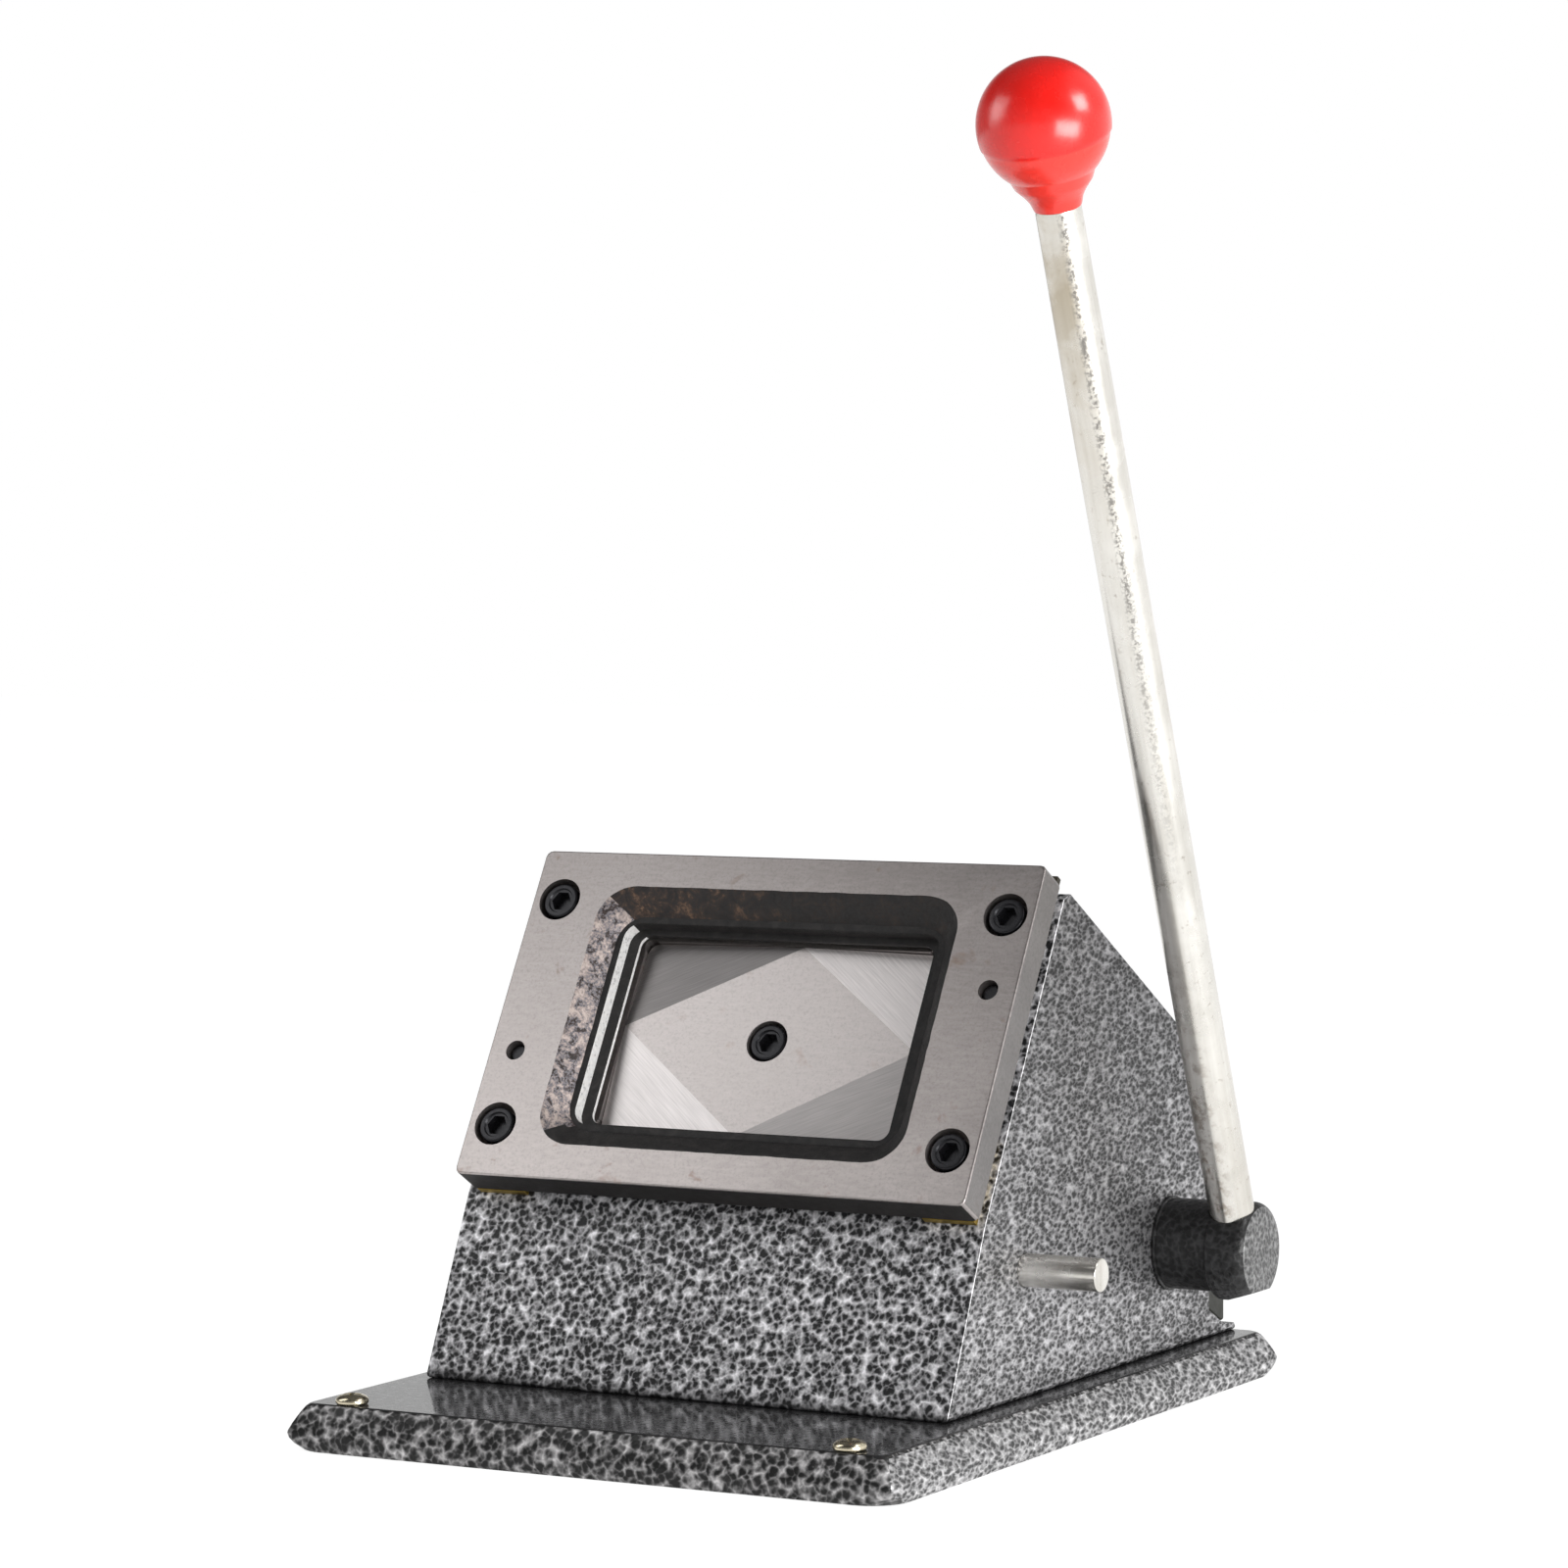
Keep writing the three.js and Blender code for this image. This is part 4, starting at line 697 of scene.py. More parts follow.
def pan_screws():
    """Cross-slotted pan heads in the front corners of the base."""
    low = BASE_HEIGHT + GAP
    top = low + PAN_RISE
    dome = []
    for i in range(11):
        angle = math.radians(9 * i)
        rise = (PAN_RISE - PAN_RIM) * math.sin(angle) ** 0.8
        dome.append((PAN_RADIUS * math.cos(angle), low + PAN_RIM + rise))
    profile = [(0, PAN_TIP), (PAN_SHANK, PAN_TIP), (PAN_SHANK, low)]
    profile += [(PAN_RADIUS - PAN_CHAMFER, low), (PAN_RADIUS, low + PAN_CHAMFER)]
    profile += dome[:-1] + [(0, top)]
    across = SLOT_HALF_LENGTH
    along = SLOT_HALF_WIDTH
    wide = [(-across, -along), (across, -along), (across, along), (-across, along)]
    deep = [(x * 0.45, y * 0.8) for x, y in wide]
    for number, side in ((1, -1), (2, 1)):
        screw = turned(f"pan_screw_{number}", profile, 48)
        arms = []
        for turn in SLOT_TURNS:
            arm = loft("arm", [deep, wide, wide], [top - SLOT_DEPTH, top, top + OVER])
            arms.append(move(arm, Matrix.Rotation(math.radians(turn), 4, "Z")))
        cut(screw, *arms)
        shade(screw, 30)
        moved(screw, side * BASE_SCREW[0], -BASE_SCREW[1])
        dress(screw, PAN_FINISH, "body", "nickel", f"base_screw_{number}")


# Housing, drawn in the side view as (y, z)
HOUSING_HALF = 74 * MM
LEFT_EXTRA = 1.8 * MM
WALL = 8 * MM
FRONT_FOOT = -64.3 * MM
FOOT_ROUND = 1.2 * MM
EDGE_ROUND = 0.7 * MM
RIM_DEPTH = 12.4 * MM
RIM_LOW = -46.9 * MM
RIM_HIGH = 43.3 * MM
RIM_CHAMFER = 3 * MM
LEDGE_FLOOR = 28.05 * MM
LEDGE_WIDTH = 93 * MM
SEAT_WIDTH = 114 * MM
SEAT_LENGTH = 76.6 * MM
SEAT_FLOOR = 20.55 * MM
SEAT_ROUND = 3 * MM
CAVITY_HALF = 38.3 * MM
CAVITY_FRONT = -44 * MM
DOORWAY_SILL = 20 * MM
SHAFT_BORE = 10.65 * MM
PIN_BORE = 4.35 * MM
HOLE_X = 70 * MM
STOP_PIN = (-20.9 * MM, 43.8 * MM)
REAR = 92.6 * MM

# Reach behind the rear wall and height above the base, from the top down
TOE = [(16.8 * MM, 2.1 * MM), (10.1 * MM, 2.6 * MM), (0, 7.7 * MM)]
TOE_END = 18.4 * MM


def on_slope(across, depth):
    point = PLATE @ Vector((0, across, -depth))
    return (point.y, point.z)


def on_slope_at(across, y):
    cosine = math.cos(PLATE_TILT)
    rise = (across - (y - PLATE_CENTRE.y) * cosine) / math.sin(PLATE_TILT)
    return (y, PLATE_CENTRE.z + rise)


def along_x(outline, name, low, high):
    return move(prism(name, outline, low, high), TO_X)


def round_foot(obj, radius):
    """Rounds the edges that stand on the base."""
    bm = bmesh.new()
    bm.from_mesh(obj.data)
    edges = [e for e in bm.edges if all(v.co.z < BASE_HEIGHT + 0.01 * MM for v in e.verts)]
    bmesh.ops.bevel(bm, geom=edges, offset=radius, segments=3, profile=0.5, affect="EDGES")
    bm.to_mesh(obj.data)
    bm.free()


def housing():
    """Hollow wedge, open below and behind, with the plate's seat on its slope."""
    low = BASE_HEIGHT
    rim = on_slope(RIM_LOW, RIM_DEPTH)
    outline = [
        (FRONT_FOOT, low),
        (REAR + TOE_END, low),
        *[(REAR + reach, low + height) for reach, height in TOE],
        on_slope_at(RIM_HIGH + RIM_CHAMFER, REAR),
        on_slope(RIM_HIGH + RIM_CHAMFER, RIM_DEPTH + RIM_CHAMFER),
        on_slope(RIM_HIGH, RIM_DEPTH),
        rim,
    ]
    body = along_x(outline, "housing_skin", -HOUSING_HALF - LEFT_EXTRA, HOUSING_HALF)
    round_foot(body, FOOT_ROUND)
    bevel(body, EDGE_ROUND, 3, 26)

    # The cavity's front runs along the inside of the front wall
    run = (Vector(rim) - Vector(outline[0])).normalized()
    inward = Vector((run.y, -run.x))
    start = Vector(rim) + inward * WALL

    def inner(length):
        return tuple(start + run * length)

    slope = Vector((math.cos(PLATE_TILT), math.sin(PLATE_TILT)))
    across = (start - Vector((PLATE_CENTRE.y, PLATE_CENTRE.z))).dot(slope)
    under_rim = (CAVITY_FRONT - across) / run.dot(slope)
    to_floor = (low - OVER - start.y) / run.y
    cavity = along_x([
        inner(to_floor),
        (REAR - WALL, low - OVER),
        (REAR - WALL, low + DOORWAY_SILL),
        (REAR + OVER, low + DOORWAY_SILL),
        on_slope_at(CAVITY_HALF, REAR + OVER),
        on_slope(CAVITY_HALF, LEDGE_FLOOR),
        on_slope(-CAVITY_HALF, LEDGE_FLOOR),
        inner(under_rim),
    ], "cavity", WALL - HOUSING_HALF, HOUSING_HALF - WALL)
    tools = [cavity]
    for width, floor in ((SEAT_WIDTH, -SEAT_FLOOR), (LEDGE_WIDTH, -LEDGE_FLOOR - OVER)):
        seat = rounded(width, SEAT_LENGTH, SEAT_ROUND, 4)
        tools.append(move(prism("seat", seat, floor, OVER - RIM_DEPTH), PLATE))
    for side in (-1, 1):
        place = Matrix.Translation((side * HOLE_X, SHAFT_PLACE.y, SHAFT_PLACE.z))
        tools.append(move(move(hole(SHAFT_BORE, -WALL, WALL, 48), TO_X), place))
    place = Matrix.Translation((HOLE_X, STOP_PIN[0], STOP_PIN[1]))
    tools.append(move(move(hole(PIN_BORE, -WALL, WALL), TO_X), place))
    cut(body, *tools)
    shade(body, 40)
    dress(body, GREY_HAMMER, "body", "hammertone_grey", "housing")

    # The side walls get a lighter copy of the enamel, painted light, and the bevel at the front
    # right edge a light one, a painted highlight
    body.data.materials.append(EDGE_GLINT_HAMMER)
    body.data.materials.append(SIDE_WALL_LIT)
    for polygon in body.data.polygons:
        spot = polygon.center
        facing = polygon.normal
        if abs(facing.x) > 0.97:
            polygon.material_index = 2
        if 0.3 < facing.x < 0.97 and facing.y < -0.2 and spot.x > 73 * MM and spot.z > 13 * MM:
            polygon.material_index = 1


# Die plate, its top at z = 0 until it's moved onto the slope
PLATE_WIDTH = 147 * MM
PLATE_LENGTH = 93.5 * MM
PLATE_THICK = 10 * MM
PLATE_ROUND = 1.8 * MM
PLATE_EDGE = 0.5 * MM
DIE_SCREW = (65.4 * MM, 32.4 * MM)
DIE_SCREW_BORE = 3.3 * MM
DIE_HEAD_BORE = 6 * MM
DIE_HEAD_DEPTH = 6.5 * MM
DOWEL = (65.7 * MM, 11.5 * MM)
DOWEL_BORE = 2.75 * MM
DIE_TIP = -27.4 * MM

# Width, length and corner radius of the pocket at its floor, and how much each grows to the top
POCKET_SIZES = ((96.4, 9.6), (61.4, 12.6), (7.5, 2.5))
POCKET_DEPTH = 5.3 * MM
POCKET_RINGS = 7
POCKET_FLARE = 1.25
RELIEF_SIZES = (92.6 * MM, 57.8 * MM, 4.5 * MM)
RELIEF_DEPTH = 9 * MM
LIP_SIZES = (86.3 * MM, 54.3 * MM, 3.15 * MM)

# Half of the pocket's width and length and its depth, in mm, for telling its faces from the rest
POCKET_REACH = (53.2, 37.2)
POCKET_END = -5.4
SKIN = -0.02

# Height of the pocket edge's waves, and how many fit in a metre
WAVE = 0.16 * MM
COARSE_WAVES = 260
FINE_WAVES = 900
WAVE_STEP = 0.7 * MM


def noisy_outline(width, length, radius, amount, seed, count=240):
    """A rounded rectangle with even points, pushed in and out a little as a cast edge is."""
    coarse = rounded(width, length, radius, 8)
    closed = coarse + coarse[:1]
    lengths = [0.0]
    for a, b in zip(closed, closed[1:]):
        lengths.append(lengths[-1] + math.dist(a, b))
    points = []
    for i in range(count):
        at = lengths[-1] * i / count
        k = max(j for j in range(len(coarse)) if lengths[j] <= at)
        share = (at - lengths[k]) / max(lengths[k + 1] - lengths[k], 1e-9)
        x = closed[k][0] + (closed[k + 1][0] - closed[k][0]) * share
        y = closed[k][1] + (closed[k + 1][1] - closed[k][1]) * share
        spot = Vector((x, y, seed))
        wave = noise.noise(spot * COARSE_WAVES) + 0.5 * noise.noise(spot * FINE_WAVES)
        push = 1 + amount / math.hypot(x, y) * wave
        points.append((x * push, y * push))
    return points


def plate_finish(spot, normal):
    """What a face looks like where it isn't plain ground steel; its centre is given in mm.
    Walls facing +x are lighter in the pocket (painted light) and near white below it (painted
    reflection), the other walls are dark (painted shade over their rust and scale), and the right
    side is darker (painted shade).
    """
    if normal.y < -0.9 and spot.y < -46:
        return MILL_SCALE
    if normal.x > 0.9 and spot.x > 73:
        return SIDE_STEEL_SHADED
    if abs(spot.x) > POCKET_REACH[0] or abs(spot.y) > POCKET_REACH[1] or spot.z > SKIN:
        return None
    if normal.x > 0.4 and spot.z > POCKET_END:
        return POCKET_LIT
    if normal.x > 0.6:
        return LIP_REFLECTION
    if normal.y < -0.3 and spot.z > POCKET_END:
        return POCKET_SHADED_RUST
    return POCKET_SHADED


def die_plate():
    """Plate with a flared and wavy pocket, a relief below it and a ground lip at the bottom."""

    def outline(inset):
        return rounded(PLATE_WIDTH - 2 * inset, PLATE_LENGTH - 2 * inset, PLATE_ROUND, 3)

    soft = PLATE_EDGE * 0.35
    plate = loft(
        "die_plate_skin",
        [outline(PLATE_EDGE), outline(0), outline(0), outline(soft), outline(PLATE_EDGE)],
        [-PLATE_THICK, PLATE_EDGE - PLATE_THICK, -PLATE_EDGE, -soft, 0],
    )
    rings = []
    heights = []
    for i in range(POCKET_RINGS):
        share = i / (POCKET_RINGS - 1)
        flare = share ** POCKET_FLARE
        sizes = [(size + growth * flare) * MM for size, growth in POCKET_SIZES]
        rings.append(noisy_outline(*sizes, WAVE, i * WAVE_STEP))
        heights.append(POCKET_DEPTH * share - POCKET_DEPTH)
    through = -PLATE_THICK - OVER
    tools = [
        loft("pocket", rings + rings[-1:], heights + [OVER]),
        prism("relief", rounded(*RELIEF_SIZES), -RELIEF_DEPTH, OVER),
        prism("lip", rounded(*LIP_SIZES), through, OVER),
    ]
    for x in (-DIE_SCREW[0], DIE_SCREW[0]):
        for y in (-DIE_SCREW[1], DIE_SCREW[1]):
            tools.append(moved(hole(DIE_SCREW_BORE, through, 0), x, y))
            tools.append(moved(hole(DIE_HEAD_BORE, -DIE_HEAD_DEPTH, OVER, 48), x, y))
    for side in (-1, 1):
        tools.append(moved(hole(DOWEL_BORE, through, OVER), side * DOWEL[0], side * DOWEL[1]))
    cut(plate, *tools)
    bevel(plate, 0.18 * MM, 2, 50)
    shade(plate, 40)
    dress(plate, DIE_STEEL, "body", "die_steel", "die_plate")
    finishes = [POCKET_LIT, POCKET_SHADED, POCKET_SHADED_RUST, LIP_REFLECTION, MILL_SCALE, SIDE_STEEL_SHADED]
    for finish in finishes:
        plate.data.materials.append(finish)
    for polygon in plate.data.polygons:
        finish = plate_finish(polygon.center / MM, polygon.normal)
        if finish:
            polygon.material_index = 1 + finishes.index(finish)
    move(plate, PLATE)


def die_fasteners():
    """Four socket screws and two dowels through the die plate."""
    number = 0
    for y in (DIE_SCREW[1], -DIE_SCREW[1]):
        for x in (-DIE_SCREW[0], DIE_SCREW[0]):
            number += 1
            place = PLATE @ Matrix.Translation((x, y, 0))
            name = f"die_screw_skin_{number}"
            screw = cap_screw(name, place, DIE_SCREW_SIZES, -0.5 * MM, DIE_TIP)
            dress(screw, BLACK_STEEL, "body", "black_steel", f"die_screw_{number}")
    radius = 2.6 * MM
    top = -2 * MM
    chamfer = 0.6 * MM
    profile = [(0, DIE_TIP), (radius, DIE_TIP), (radius, top - chamfer), (1.9 * MM, top), (0, top)]
    for number, side in ((1, -1), (2, 1)):
        pin = turned(f"dowel_skin_{number}", profile, 32)
        shade(pin)
        moved(pin, side * DOWEL[0], side * DOWEL[1])
        move(pin, PLATE)
        dress(pin, BLACK_STEEL, "body", "ground_steel", f"dowel_{number}")


# Reach of the shims under the plate
SHIM_X = (57.5 * MM, 71.9 * MM)
UPPER_SHIM_Y = (26.75 * MM, 48.75 * MM)
LOWER_SHIM_Y = (-46.75 * MM, -24.75 * MM)
SHIM_Z = (-12.25 * MM, -10.15 * MM)
SHIM_HOLE = 3.2 * MM


def shims():
    """Brass strips between plate and housing, the upper pair darker."""
    number = 0
    low, high = SHIM_Z
    for sy, reach, finish in ((1, UPPER_SHIM_Y, DARK_BRASS), (-1, LOWER_SHIM_Y, BRASS)):
        for sx in (-1, 1):
            number += 1
            left, right = sorted(sx * x for x in SHIM_X)
            strip = box(f"shim_skin_{number}", (left, reach[0], low), (right, reach[1], high))
            cut(strip, moved(hole(SHIM_HOLE, -20 * MM, 0), sx * DIE_SCREW[0], sy * DIE_SCREW[1]))
            bevel(strip, 0.15 * MM, 2, 50)
            shade(strip)
            move(strip, PLATE)
            dress(strip, finish, "body", "brass", f"shim_{number}")


# Punch, drawn in the plate's frame; the rhombus on its face goes clockwise from its top corner
PUNCH_FACE = -12.3 * MM
PUNCH_HALF = (43 * MM, 27 * MM)
PUNCH_ROUND = 3 * MM
PUNCH_LENGTH = 23.8 * MM
PUNCH_BORE = 3.15 * MM
PUNCH_HEAD_BORE = 5.7 * MM
PUNCH_HEAD_DEPTH = 6.65 * MM
RHOMBUS = [(3.8 * MM, 27 * MM), (43 * MM, -1.2 * MM), (-2.6 * MM, -27 * MM), (-43 * MM, 2.5 * MM)]
FACET_DROP = 1.8 * MM


def punch():
    """Block with a flat rhombus on its face and a ground facet down to each corner."""
    face = PUNCH_FACE
    half_x, half_y = PUNCH_HALF
    outline = rounded(2 * half_x, 2 * half_y, PUNCH_ROUND, 6)
    block = prism("punch_skin", outline, face - PUNCH_LENGTH, face)
    points = [Vector((x, y, face)) for x, y in RHOMBUS]
    corners = list(FACETS)
    bm = bmesh.new()
    bm.from_mesh(block.data)
    for a, b, (sx, sy) in zip(points, points[1:] + points[:1], corners):
        c = Vector((sx * half_x, sy * half_y, face - FACET_DROP))
        normal = (b - a).cross(c - a).normalized()
        if normal.z < 0:
            normal.negate()
        found = bmesh.ops.bisect_plane(
            bm,
            geom=bm.verts[:] + bm.edges[:] + bm.faces[:],
            plane_co=a,
            plane_no=normal,
            clear_outer=True,
        )
        edges = [e for e in found["geom_cut"] if isinstance(e, bmesh.types.BMEdge)]
        bmesh.ops.edgeloop_fill(bm, edges=edges)
    bm.to_mesh(block.data)
    bm.free()
    cut(
        block,
        hole(PUNCH_BORE, -40 * MM, face),
        hole(PUNCH_HEAD_BORE, face - PUNCH_HEAD_DEPTH, face + OVER, 48),
    )
    bevel(block, 0.12 * MM, 2, 60)
    shade(block, 2)
    move(block, PLATE)
    dress(block, PUNCH_STEEL, "ram", "ground_steel", "punch")
    for finish in FACETS.values():
        block.data.materials.append(finish)

    # A facet leans a little from the face, the face itself not at all and the bevels more
    back = PLATE.inverted()
    flat = (PLATE.to_3x3() @ Vector((0, 0, 1))).normalized()
    for polygon in block.data.polygons:
        if 0.98 < polygon.normal.dot(flat) < 0.99999:
            spot = back @ polygon.center
            corner = (1 if spot.x > 0 else -1, 1 if spot.y > 0 else -1)
            polygon.material_index = 1 + corners.index(corner)
    screw = cap_screw("punch_screw_skin", PLATE, PUNCH_SCREW_SIZES, face - 0.5 * MM, -50.2 * MM)
    dress(screw, BLACK_STEEL, "ram", "black_steel", "punch_screw")


# Lever: hub, rod and ball, drawn about the shaft with the rod upright
ROD_X = 93.7 * MM
LEVER_LENGTH = 309.3 * MM

HUB_START = 74.15 * MM
BARREL_RADIUS = 12 * MM
BARREL_END = 89 * MM
HEAD_RADIUS = 13.1 * MM
HEAD_END = 100.7 * MM
HEAD_DROP = 1 * MM
HEAD_FOOT_ROUND = 1 * MM
HUB_BORE = 8.15 * MM
HUB_BORE_END = 86 * MM
ROD_HOLE = 6.15 * MM
SET_SCREW_X = 80.2 * MM
SET_SCREW_HOLE = 3.15 * MM

# Lip of the hub at the wall: how far it stands out of the barrel and its way from the start, in mm
HUB_LIP = [(0.2, 0), (0.5, 0.3), (0.5, 0.7), (-0.1, 0.9), (0, 1.5)]


def hub():
    """Barrel at the wall with a wider head, cut off slantwise on its underside."""
    profile = [(0, HUB_START)]
    profile += [(BARREL_RADIUS + out * MM, HUB_START + way * MM) for out, way in HUB_LIP]
    inside = BARREL_END + 0.8 * MM
    profile += [(BARREL_RADIUS, inside), (0, inside)]
    body = move(turned("lever_hub_skin", profile, 72), TO_X)

    edge = HEAD_FOOT_ROUND
    profile = [(0, BARREL_END)]
    profile += arc(HEAD_RADIUS - edge, BARREL_END + edge, edge, -90, 0, 4)
    profile += [(HEAD_RADIUS, HEAD_END - 3.4 * MM)]
    for degrees in range(5, 90, 12):
        angle = math.radians(degrees)
        radius = 10 * MM + 3.1 * MM * math.cos(angle)
        profile.append((radius, HEAD_END - 3.2 * MM + 3.2 * MM * math.sin(angle)))
    profile += [(9.6 * MM, HEAD_END), (0, HEAD_END)]
    head = move(turned("head", profile, 72), TO_X)

    rise = math.atan2(3.8 * MM, 12 * MM)
    below = box("below", (-5 * MM, -20 * MM, -12 * MM), (24 * MM, 20 * MM, 0))
    place = Matrix.Translation((BARREL_END + 2 * MM, 0, -HEAD_RADIUS))
    move(below, place @ Matrix.Rotation(-rise, 4, "Y"))
    move(below, Matrix.Rotation(-LEVER_LEAN, 4, "X"))
    cut(head, below)
    bevel(head, 0.35 * MM, 3, 24)
    moved(head, 0, 0, -HEAD_DROP)
    cut(body, head, operation="UNION")

    bore = move(hole(HUB_BORE, HUB_START - OVER, HUB_BORE_END, 48), TO_X)
    rod_hole = moved(hole(ROD_HOLE, -5.15 * MM, 20 * MM, 48), ROD_X, 0)
    screw_hole = moved(hole(SET_SCREW_HOLE, -20 * MM, 0), SET_SCREW_X, 0)
    cut(body, bore, rod_hole, screw_hole)
    bevel(body, 0.2 * MM, 2, 55)
    shade(body, 40)
    dress(body, BLACK_HAMMER, "lever", "hammertone_black", "lever_hub")
    body.data.materials.append(HUB_END_LIT)
    # The end face gets the lighter copy of the enamel: painted light
    for polygon in body.data.polygons:
        if polygon.normal.x > 0.8 and polygon.center.x > 95 * MM:
            polygon.material_index = 1
    move(body, LEVER)


ROD_RADIUS = 6 * MM
ROD_FOOT = -5 * MM
ROD_CHAMFER = 0.6 * MM
ROD_TAPER = 0.25 * MM
TAPER_SHARE = 0.2
SHOULDER_UNDER = 21.05 * MM
TENON_RADIUS = 4 * MM
TENON_OVER = 3 * MM


def rod():
    """Bar that narrows a little towards the ball and ends in a tenon inside it."""
    shoulder = LEVER_LENGTH - SHOULDER_UNDER
    top = LEVER_LENGTH + TENON_OVER
    profile = [(0, ROD_FOOT), (ROD_RADIUS - ROD_CHAMFER, ROD_FOOT)]
    profile += [(ROD_RADIUS, ROD_FOOT + ROD_CHAMFER)]
    stretches = 24
    for i in range(stretches + 1):
        share = i / stretches
        narrow = max(0.0, share - (1 - TAPER_SHARE)) / TAPER_SHARE
        profile.append((ROD_RADIUS - ROD_TAPER * narrow, 2 * MM + (shoulder - 3 * MM) * share))
    profile += [(5.6 * MM, shoulder), (TENON_RADIUS, shoulder), (TENON_RADIUS, top), (0, top)]
    bar = turned("lever_rod_skin", profile, 64)
    shade(bar, 30)
    dress(bar, ROD_NICKEL, "lever", "nickel", "lever_rod")

    # Its own frame stays at its foot, along its length, for the tarnish and painted reflection at
    # its ends
    lever = frame["bodies"]["lever"].matrix_world
    bar.matrix_world = lever @ LEVER @ Matrix.Translation((ROD_X, 0, 0))


BALL_RADIUS = 16.5 * MM
SEAM = -4 * MM
SEAM_STEP = 0.3 * MM
BALL_BORE = (4.15 * MM, 3.15 * MM)

# Rim of the bore and neck under the ball as (radius, height) from its centre, in mm
NECK = [
    (4.15, -20.7), (4.6, -20.9), (5.9, -20.9), (6.1, -20.4), (6.6, -18.8),
    (7.2, -17.8), (7.9, -16.8), (8.8, -15.7), (9.7, -14.6),
]
BALL_START = -49
BALL_STEPS = 60


def ball():
    """Ball of two mouldings, the lower one a step narrower."""
    profile = [(0, BALL_BORE[1]), BALL_BORE]
    profile += [(r * MM, z * MM) for r, z in NECK]
    for r, z in arc(0, 0, BALL_RADIUS, BALL_START, 90, BALL_STEPS):
        step = SEAM_STEP if z < SEAM else 0.0
        profile.append((r - step * r / BALL_RADIUS, z))
    profile[-1] = (0, BALL_RADIUS)
    knob = turned("ball_knob_skin", profile, 96)
    shade(knob, 40)
    dress(knob, RED, "lever", "red_plastic", "ball_knob")
    # The lower moulding gets the lighter red, a painted reflection of the floor
    knob.data.materials.append(RED_LOW_LIT)
    for polygon in knob.data.polygons:
        if polygon.center.z < SEAM:
            polygon.material_index = 1
    moved(knob, ROD_X, 0, LEVER_LENGTH)
    move(knob, LEVER)


# Stop pin in the right wall
PIN_RADIUS = 4.2 * MM
PIN_ROUND = 0.3 * MM
PIN_START = 66.2 * MM
PIN_END = 95.2 * MM


def stop_pin():
    inner = PIN_RADIUS - PIN_ROUND
    profile = [(0, PIN_START), (inner, PIN_START), (PIN_RADIUS, PIN_START + PIN_ROUND)]
    profile += [(PIN_RADIUS, PIN_END - PIN_ROUND)]
    profile += arc(inner, PIN_END - PIN_ROUND, PIN_ROUND, 0, 90, 4)
    profile += [(0, PIN_END)]
    pin = turned("stop_pin_skin", profile, 48)
    shade(pin, 30)
    move(pin, Matrix.Translation((0, STOP_PIN[0], STOP_PIN[1])) @ TO_X)
    dress(pin, NICKEL, "body", "nickel", "stop_pin")


# Rear cover
COVER_HALF = 73 * MM
COVER_THICK = 12.5 * MM
COVER_TOP = 83.975 * MM
TOE_GAP = 0.6 * MM
COVER_SCREWS = [(x * MM, z * MM) for z in (72.975, 36) for x in (-70, 70)]
COVER_SCREW_HOLE = 2.15 * MM
COVER_HEAD_HOLE = 3.75 * MM
COVER_HEAD_DEPTH = 2.15 * MM


def rear_cover():
    """Cover over the rear doorway, its lower end fitted to the toe of the housing."""
    front = REAR + GAP
    back = REAR + COVER_THICK
    _, middle, upper = [(REAR + reach, BASE_HEIGHT + height + TOE_GAP) for reach, height in TOE]
    outline = [(front, upper[1]), middle, (back, middle[1]), (back, COVER_TOP), (front, COVER_TOP)]
    cover = along_x(outline, "rear_cover_skin", -COVER_HALF, COVER_HALF)
    bevel(cover, 0.8 * MM, 4, 50)
    places = [Matrix.Translation((x, REAR, z)) @ TO_Y for x, z in COVER_SCREWS]
    tools = []
    end = COVER_THICK + OVER
    for place in places:
        tools.append(move(hole(COVER_SCREW_HOLE, -OVER, end, 24), place))
        tools.append(move(hole(COVER_HEAD_HOLE, COVER_THICK - COVER_HEAD_DEPTH, end), place))
    cut(cover, *tools)
    shade(cover, 40)
    dress(cover, OLIVE, "body", "rear_paint", "rear_cover")
    for number, place in enumerate(places, 1):
        name = f"cover_screw_skin_{number}"
        screw = cap_screw(name, place, COVER_SCREW_SIZES, COVER_THICK, -12 * MM)
        dress(screw, BLACK_STEEL, "body", "black_steel", f"cover_screw_{number}")


# Floor, light and camera
FLOOR_WHITE = (0.86, 0.86, 0.86, 1)
FLOOR_GLOW = 1.17
GLOW_SHARE = 0.8

# Each lamp's name, place, target, size in metres and power in watts
LAMPS = [
    ("right_softbox", (0.85, -0.35, 0.14), (0.07, 0, 0.03), (0.6, 0.4), 8),
    ("left_softbox", (-1.0, -0.55, 0.56), (0, 0, 0.1), (0.6, 0.6), 1.8),
    ("key_softbox", (-0.365, -0.33, 0.513), (0, -0.031, 0.104), (0.3, 0.3), 0.62),
    ("high_softbox", (0.4, -0.017, 0.493), (0.094, -0.051, 0.326), (0.13, 0.13), 0.65),
]


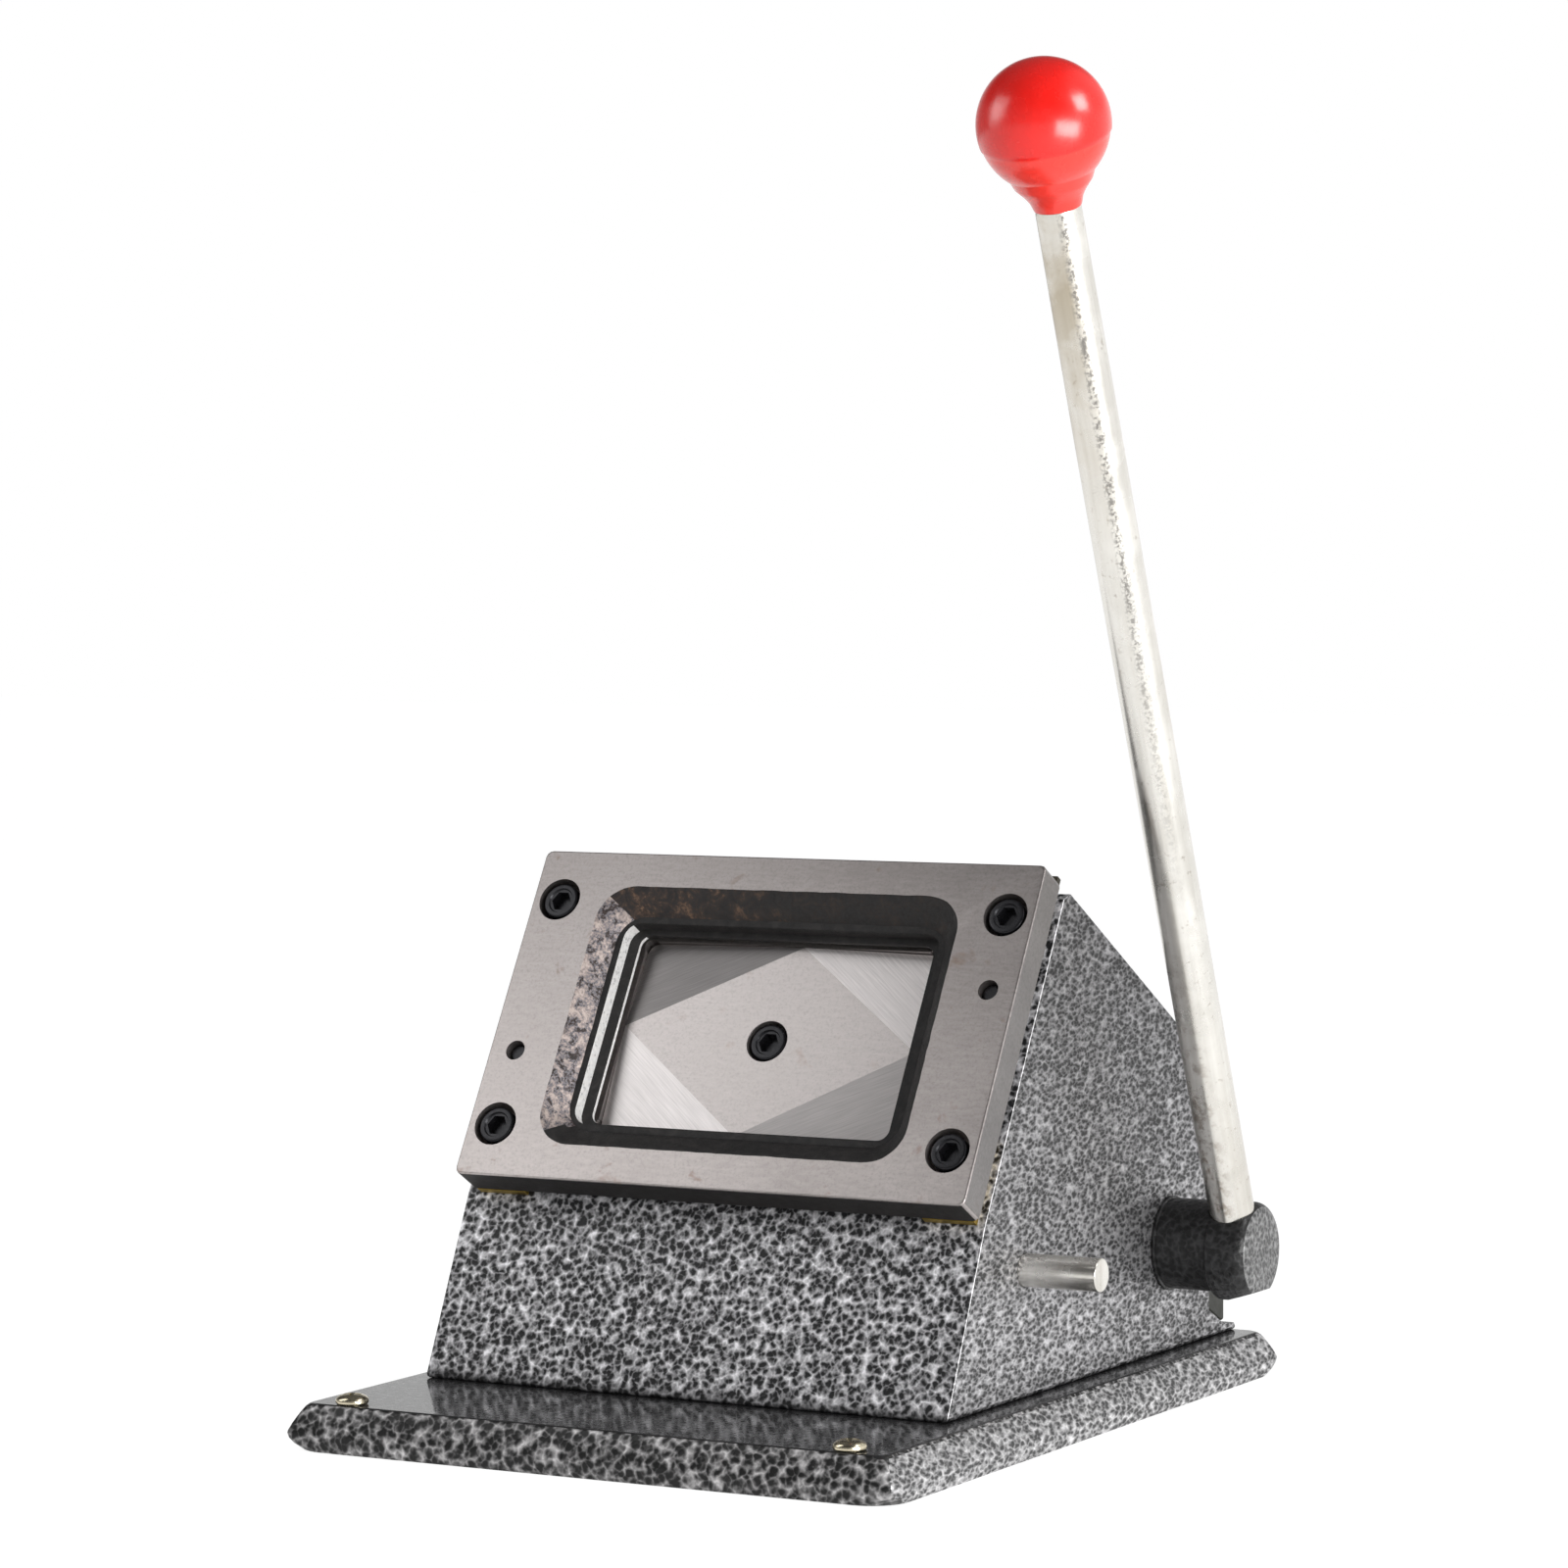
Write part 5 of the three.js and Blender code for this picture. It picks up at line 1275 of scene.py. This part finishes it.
def studio():
    """White floor that also glows for the camera and in reflections, the lamps and the world."""
    bpy.ops.mesh.primitive_plane_add(size=12, location=(0, 0, -0.2 * MM))
    floor = bpy.context.object
    floor.name = "floor"
    m = Recipe("floor_paper")
    m.set(Base_Color=FLOOR_WHITE, Roughness=0.9)
    floor.data.materials.append(m.material)
    path = m.add("ShaderNodeLightPath")
    glow = m.add("ShaderNodeEmission", {"Color": (1, 1, 1, 1), "Strength": FLOOR_GLOW}).outputs[0]
    seen = m.math("MAXIMUM", path.outputs["Is Camera Ray"], path.outputs["Is Glossy Ray"])
    seen = m.math("MAXIMUM", seen, path.outputs["Is Transmission Ray"])
    blend = m.add("ShaderNodeMixShader", {0: m.math("MULTIPLY", seen, GLOW_SHARE)})
    m.feed(blend.inputs[1], m.shader.outputs[0])
    m.feed(blend.inputs[2], glow)
    m.feed(m.tree.nodes["Material Output"].inputs[0], blend.outputs[0])
    world()
    for lamp in LAMPS:
        area_lamp(*lamp)


# Strength of the world as light on surfaces that don't mirror
AMBIENT = 0.4


def world():
    """White for the camera; in reflections white low down and on the right, else darker."""
    sky = bpy.data.worlds.new("studio")
    bpy.context.scene.world = sky
    sky.use_nodes = True
    tree = sky.node_tree

    def node(kind, inputs, **settings):
        made = tree.nodes.new(kind)
        for key, value in settings.items():
            setattr(made, key, value)
        for key, value in inputs.items():
            if isinstance(value, bpy.types.NodeSocket):
                tree.links.new(value, made.inputs[key])
            else:
                made.inputs[key].default_value = value
        return made

    def soft_step(value, low, high, to_low, to_high):
        return node(
            "ShaderNodeMapRange",
            {0: value, 1: low, 2: high, 3: to_low, 4: to_high},
            interpolation_type="SMOOTHSTEP",
        ).outputs[0]

    def combine(operation, a, b):
        return node("ShaderNodeMath", {0: a, 1: b}, operation=operation).outputs[0]

    rays = node("ShaderNodeLightPath", {}).outputs
    direction = node("ShaderNodeTexCoord", {}).outputs["Generated"]
    x, y, z = node("ShaderNodeSeparateXYZ", {0: direction}).outputs

    # What mirrors sees, by the direction it's seen in
    low_band = soft_step(z, 0.14, 0.5, 1.0, 0.1)
    from_left = soft_step(x, -0.95, -0.45, 0.25, 1.0)
    from_front = soft_step(y, -0.75, 0.1, 0.35, 1.0)
    shares = [combine("MULTIPLY", axis, share) for axis, share in zip((x, y), ACROSS)]
    rightward = combine("ADD", *shares)
    low_band = combine("MAXIMUM", low_band, soft_step(rightward, 0.15, 0.7, 0.0, 0.6))
    mirrored = combine("MULTIPLY", low_band, combine("MULTIPLY", from_left, from_front))

    plain = combine("MAXIMUM", rays["Is Camera Ray"], rays["Is Transmission Ray"])
    level = node("ShaderNodeMix", {0: rays["Is Glossy Ray"], 2: AMBIENT, 3: mirrored}).outputs[0]
    level = node("ShaderNodeMix", {0: plain, 2: level, 3: 1.0}).outputs[0]
    back = tree.nodes["Background"]
    tree.links.new(level, back.inputs["Strength"])
    back.inputs["Color"].default_value = (1, 1, 1, 1)


def area_lamp(name, place, target, size, power):
    data = bpy.data.lights.new(name, "AREA")
    data.shape = "RECTANGLE"
    data.size, data.size_y = size
    data.energy = power
    lamp = bpy.data.objects.new(name, data)
    bpy.context.scene.collection.objects.link(lamp)
    lamp.location = place
    lamp.rotation_euler = (Vector(target) - Vector(place)).to_track_quat("-Z", "Y").to_euler()


# The camera was fitted to the photograph's corners and edges; the px are of its 1600
CAMERA_PLACE = Vector((0.6255, -1.1562, 0.2182))
CAMERA_AZIMUTH = math.radians(28.47)
CAMERA_ELEVATION = math.radians(1.57)
CAMERA_ROLL = math.radians(-0.05)
CAMERA_FOCUS_PX = 5165.3
CAMERA_AXIS_PX = (15.2, -74.8)
FRAME_PX = 1600
SENSOR_WIDTH = 36


def camera():
    data = bpy.data.cameras.new("camera")
    data.sensor_width = SENSOR_WIDTH
    data.lens = CAMERA_FOCUS_PX * SENSOR_WIDTH / FRAME_PX
    data.shift_x = -CAMERA_AXIS_PX[0] / FRAME_PX
    data.shift_y = CAMERA_AXIS_PX[1] / FRAME_PX
    data.clip_start = 0.01
    cam = bpy.data.objects.new("camera", data)
    bpy.context.scene.collection.objects.link(cam)
    turn = Matrix.Rotation(CAMERA_AZIMUTH, 4, "Z")
    tip = Matrix.Rotation(math.pi / 2 - CAMERA_ELEVATION, 4, "X")
    roll = Matrix.Rotation(CAMERA_ROLL, 4, "Z")
    cam.matrix_world = Matrix.Translation(CAMERA_PLACE) @ turn @ tip @ roll
    bpy.context.scene.camera = cam
    bpy.context.scene.view_settings.view_transform = "Standard"


camera()
finish_frame()
base_plate()
pan_screws()
housing()
die_plate()
die_fasteners()
shims()
punch()
hub()
rod()
ball()
stop_pin()
rear_cover()
studio()
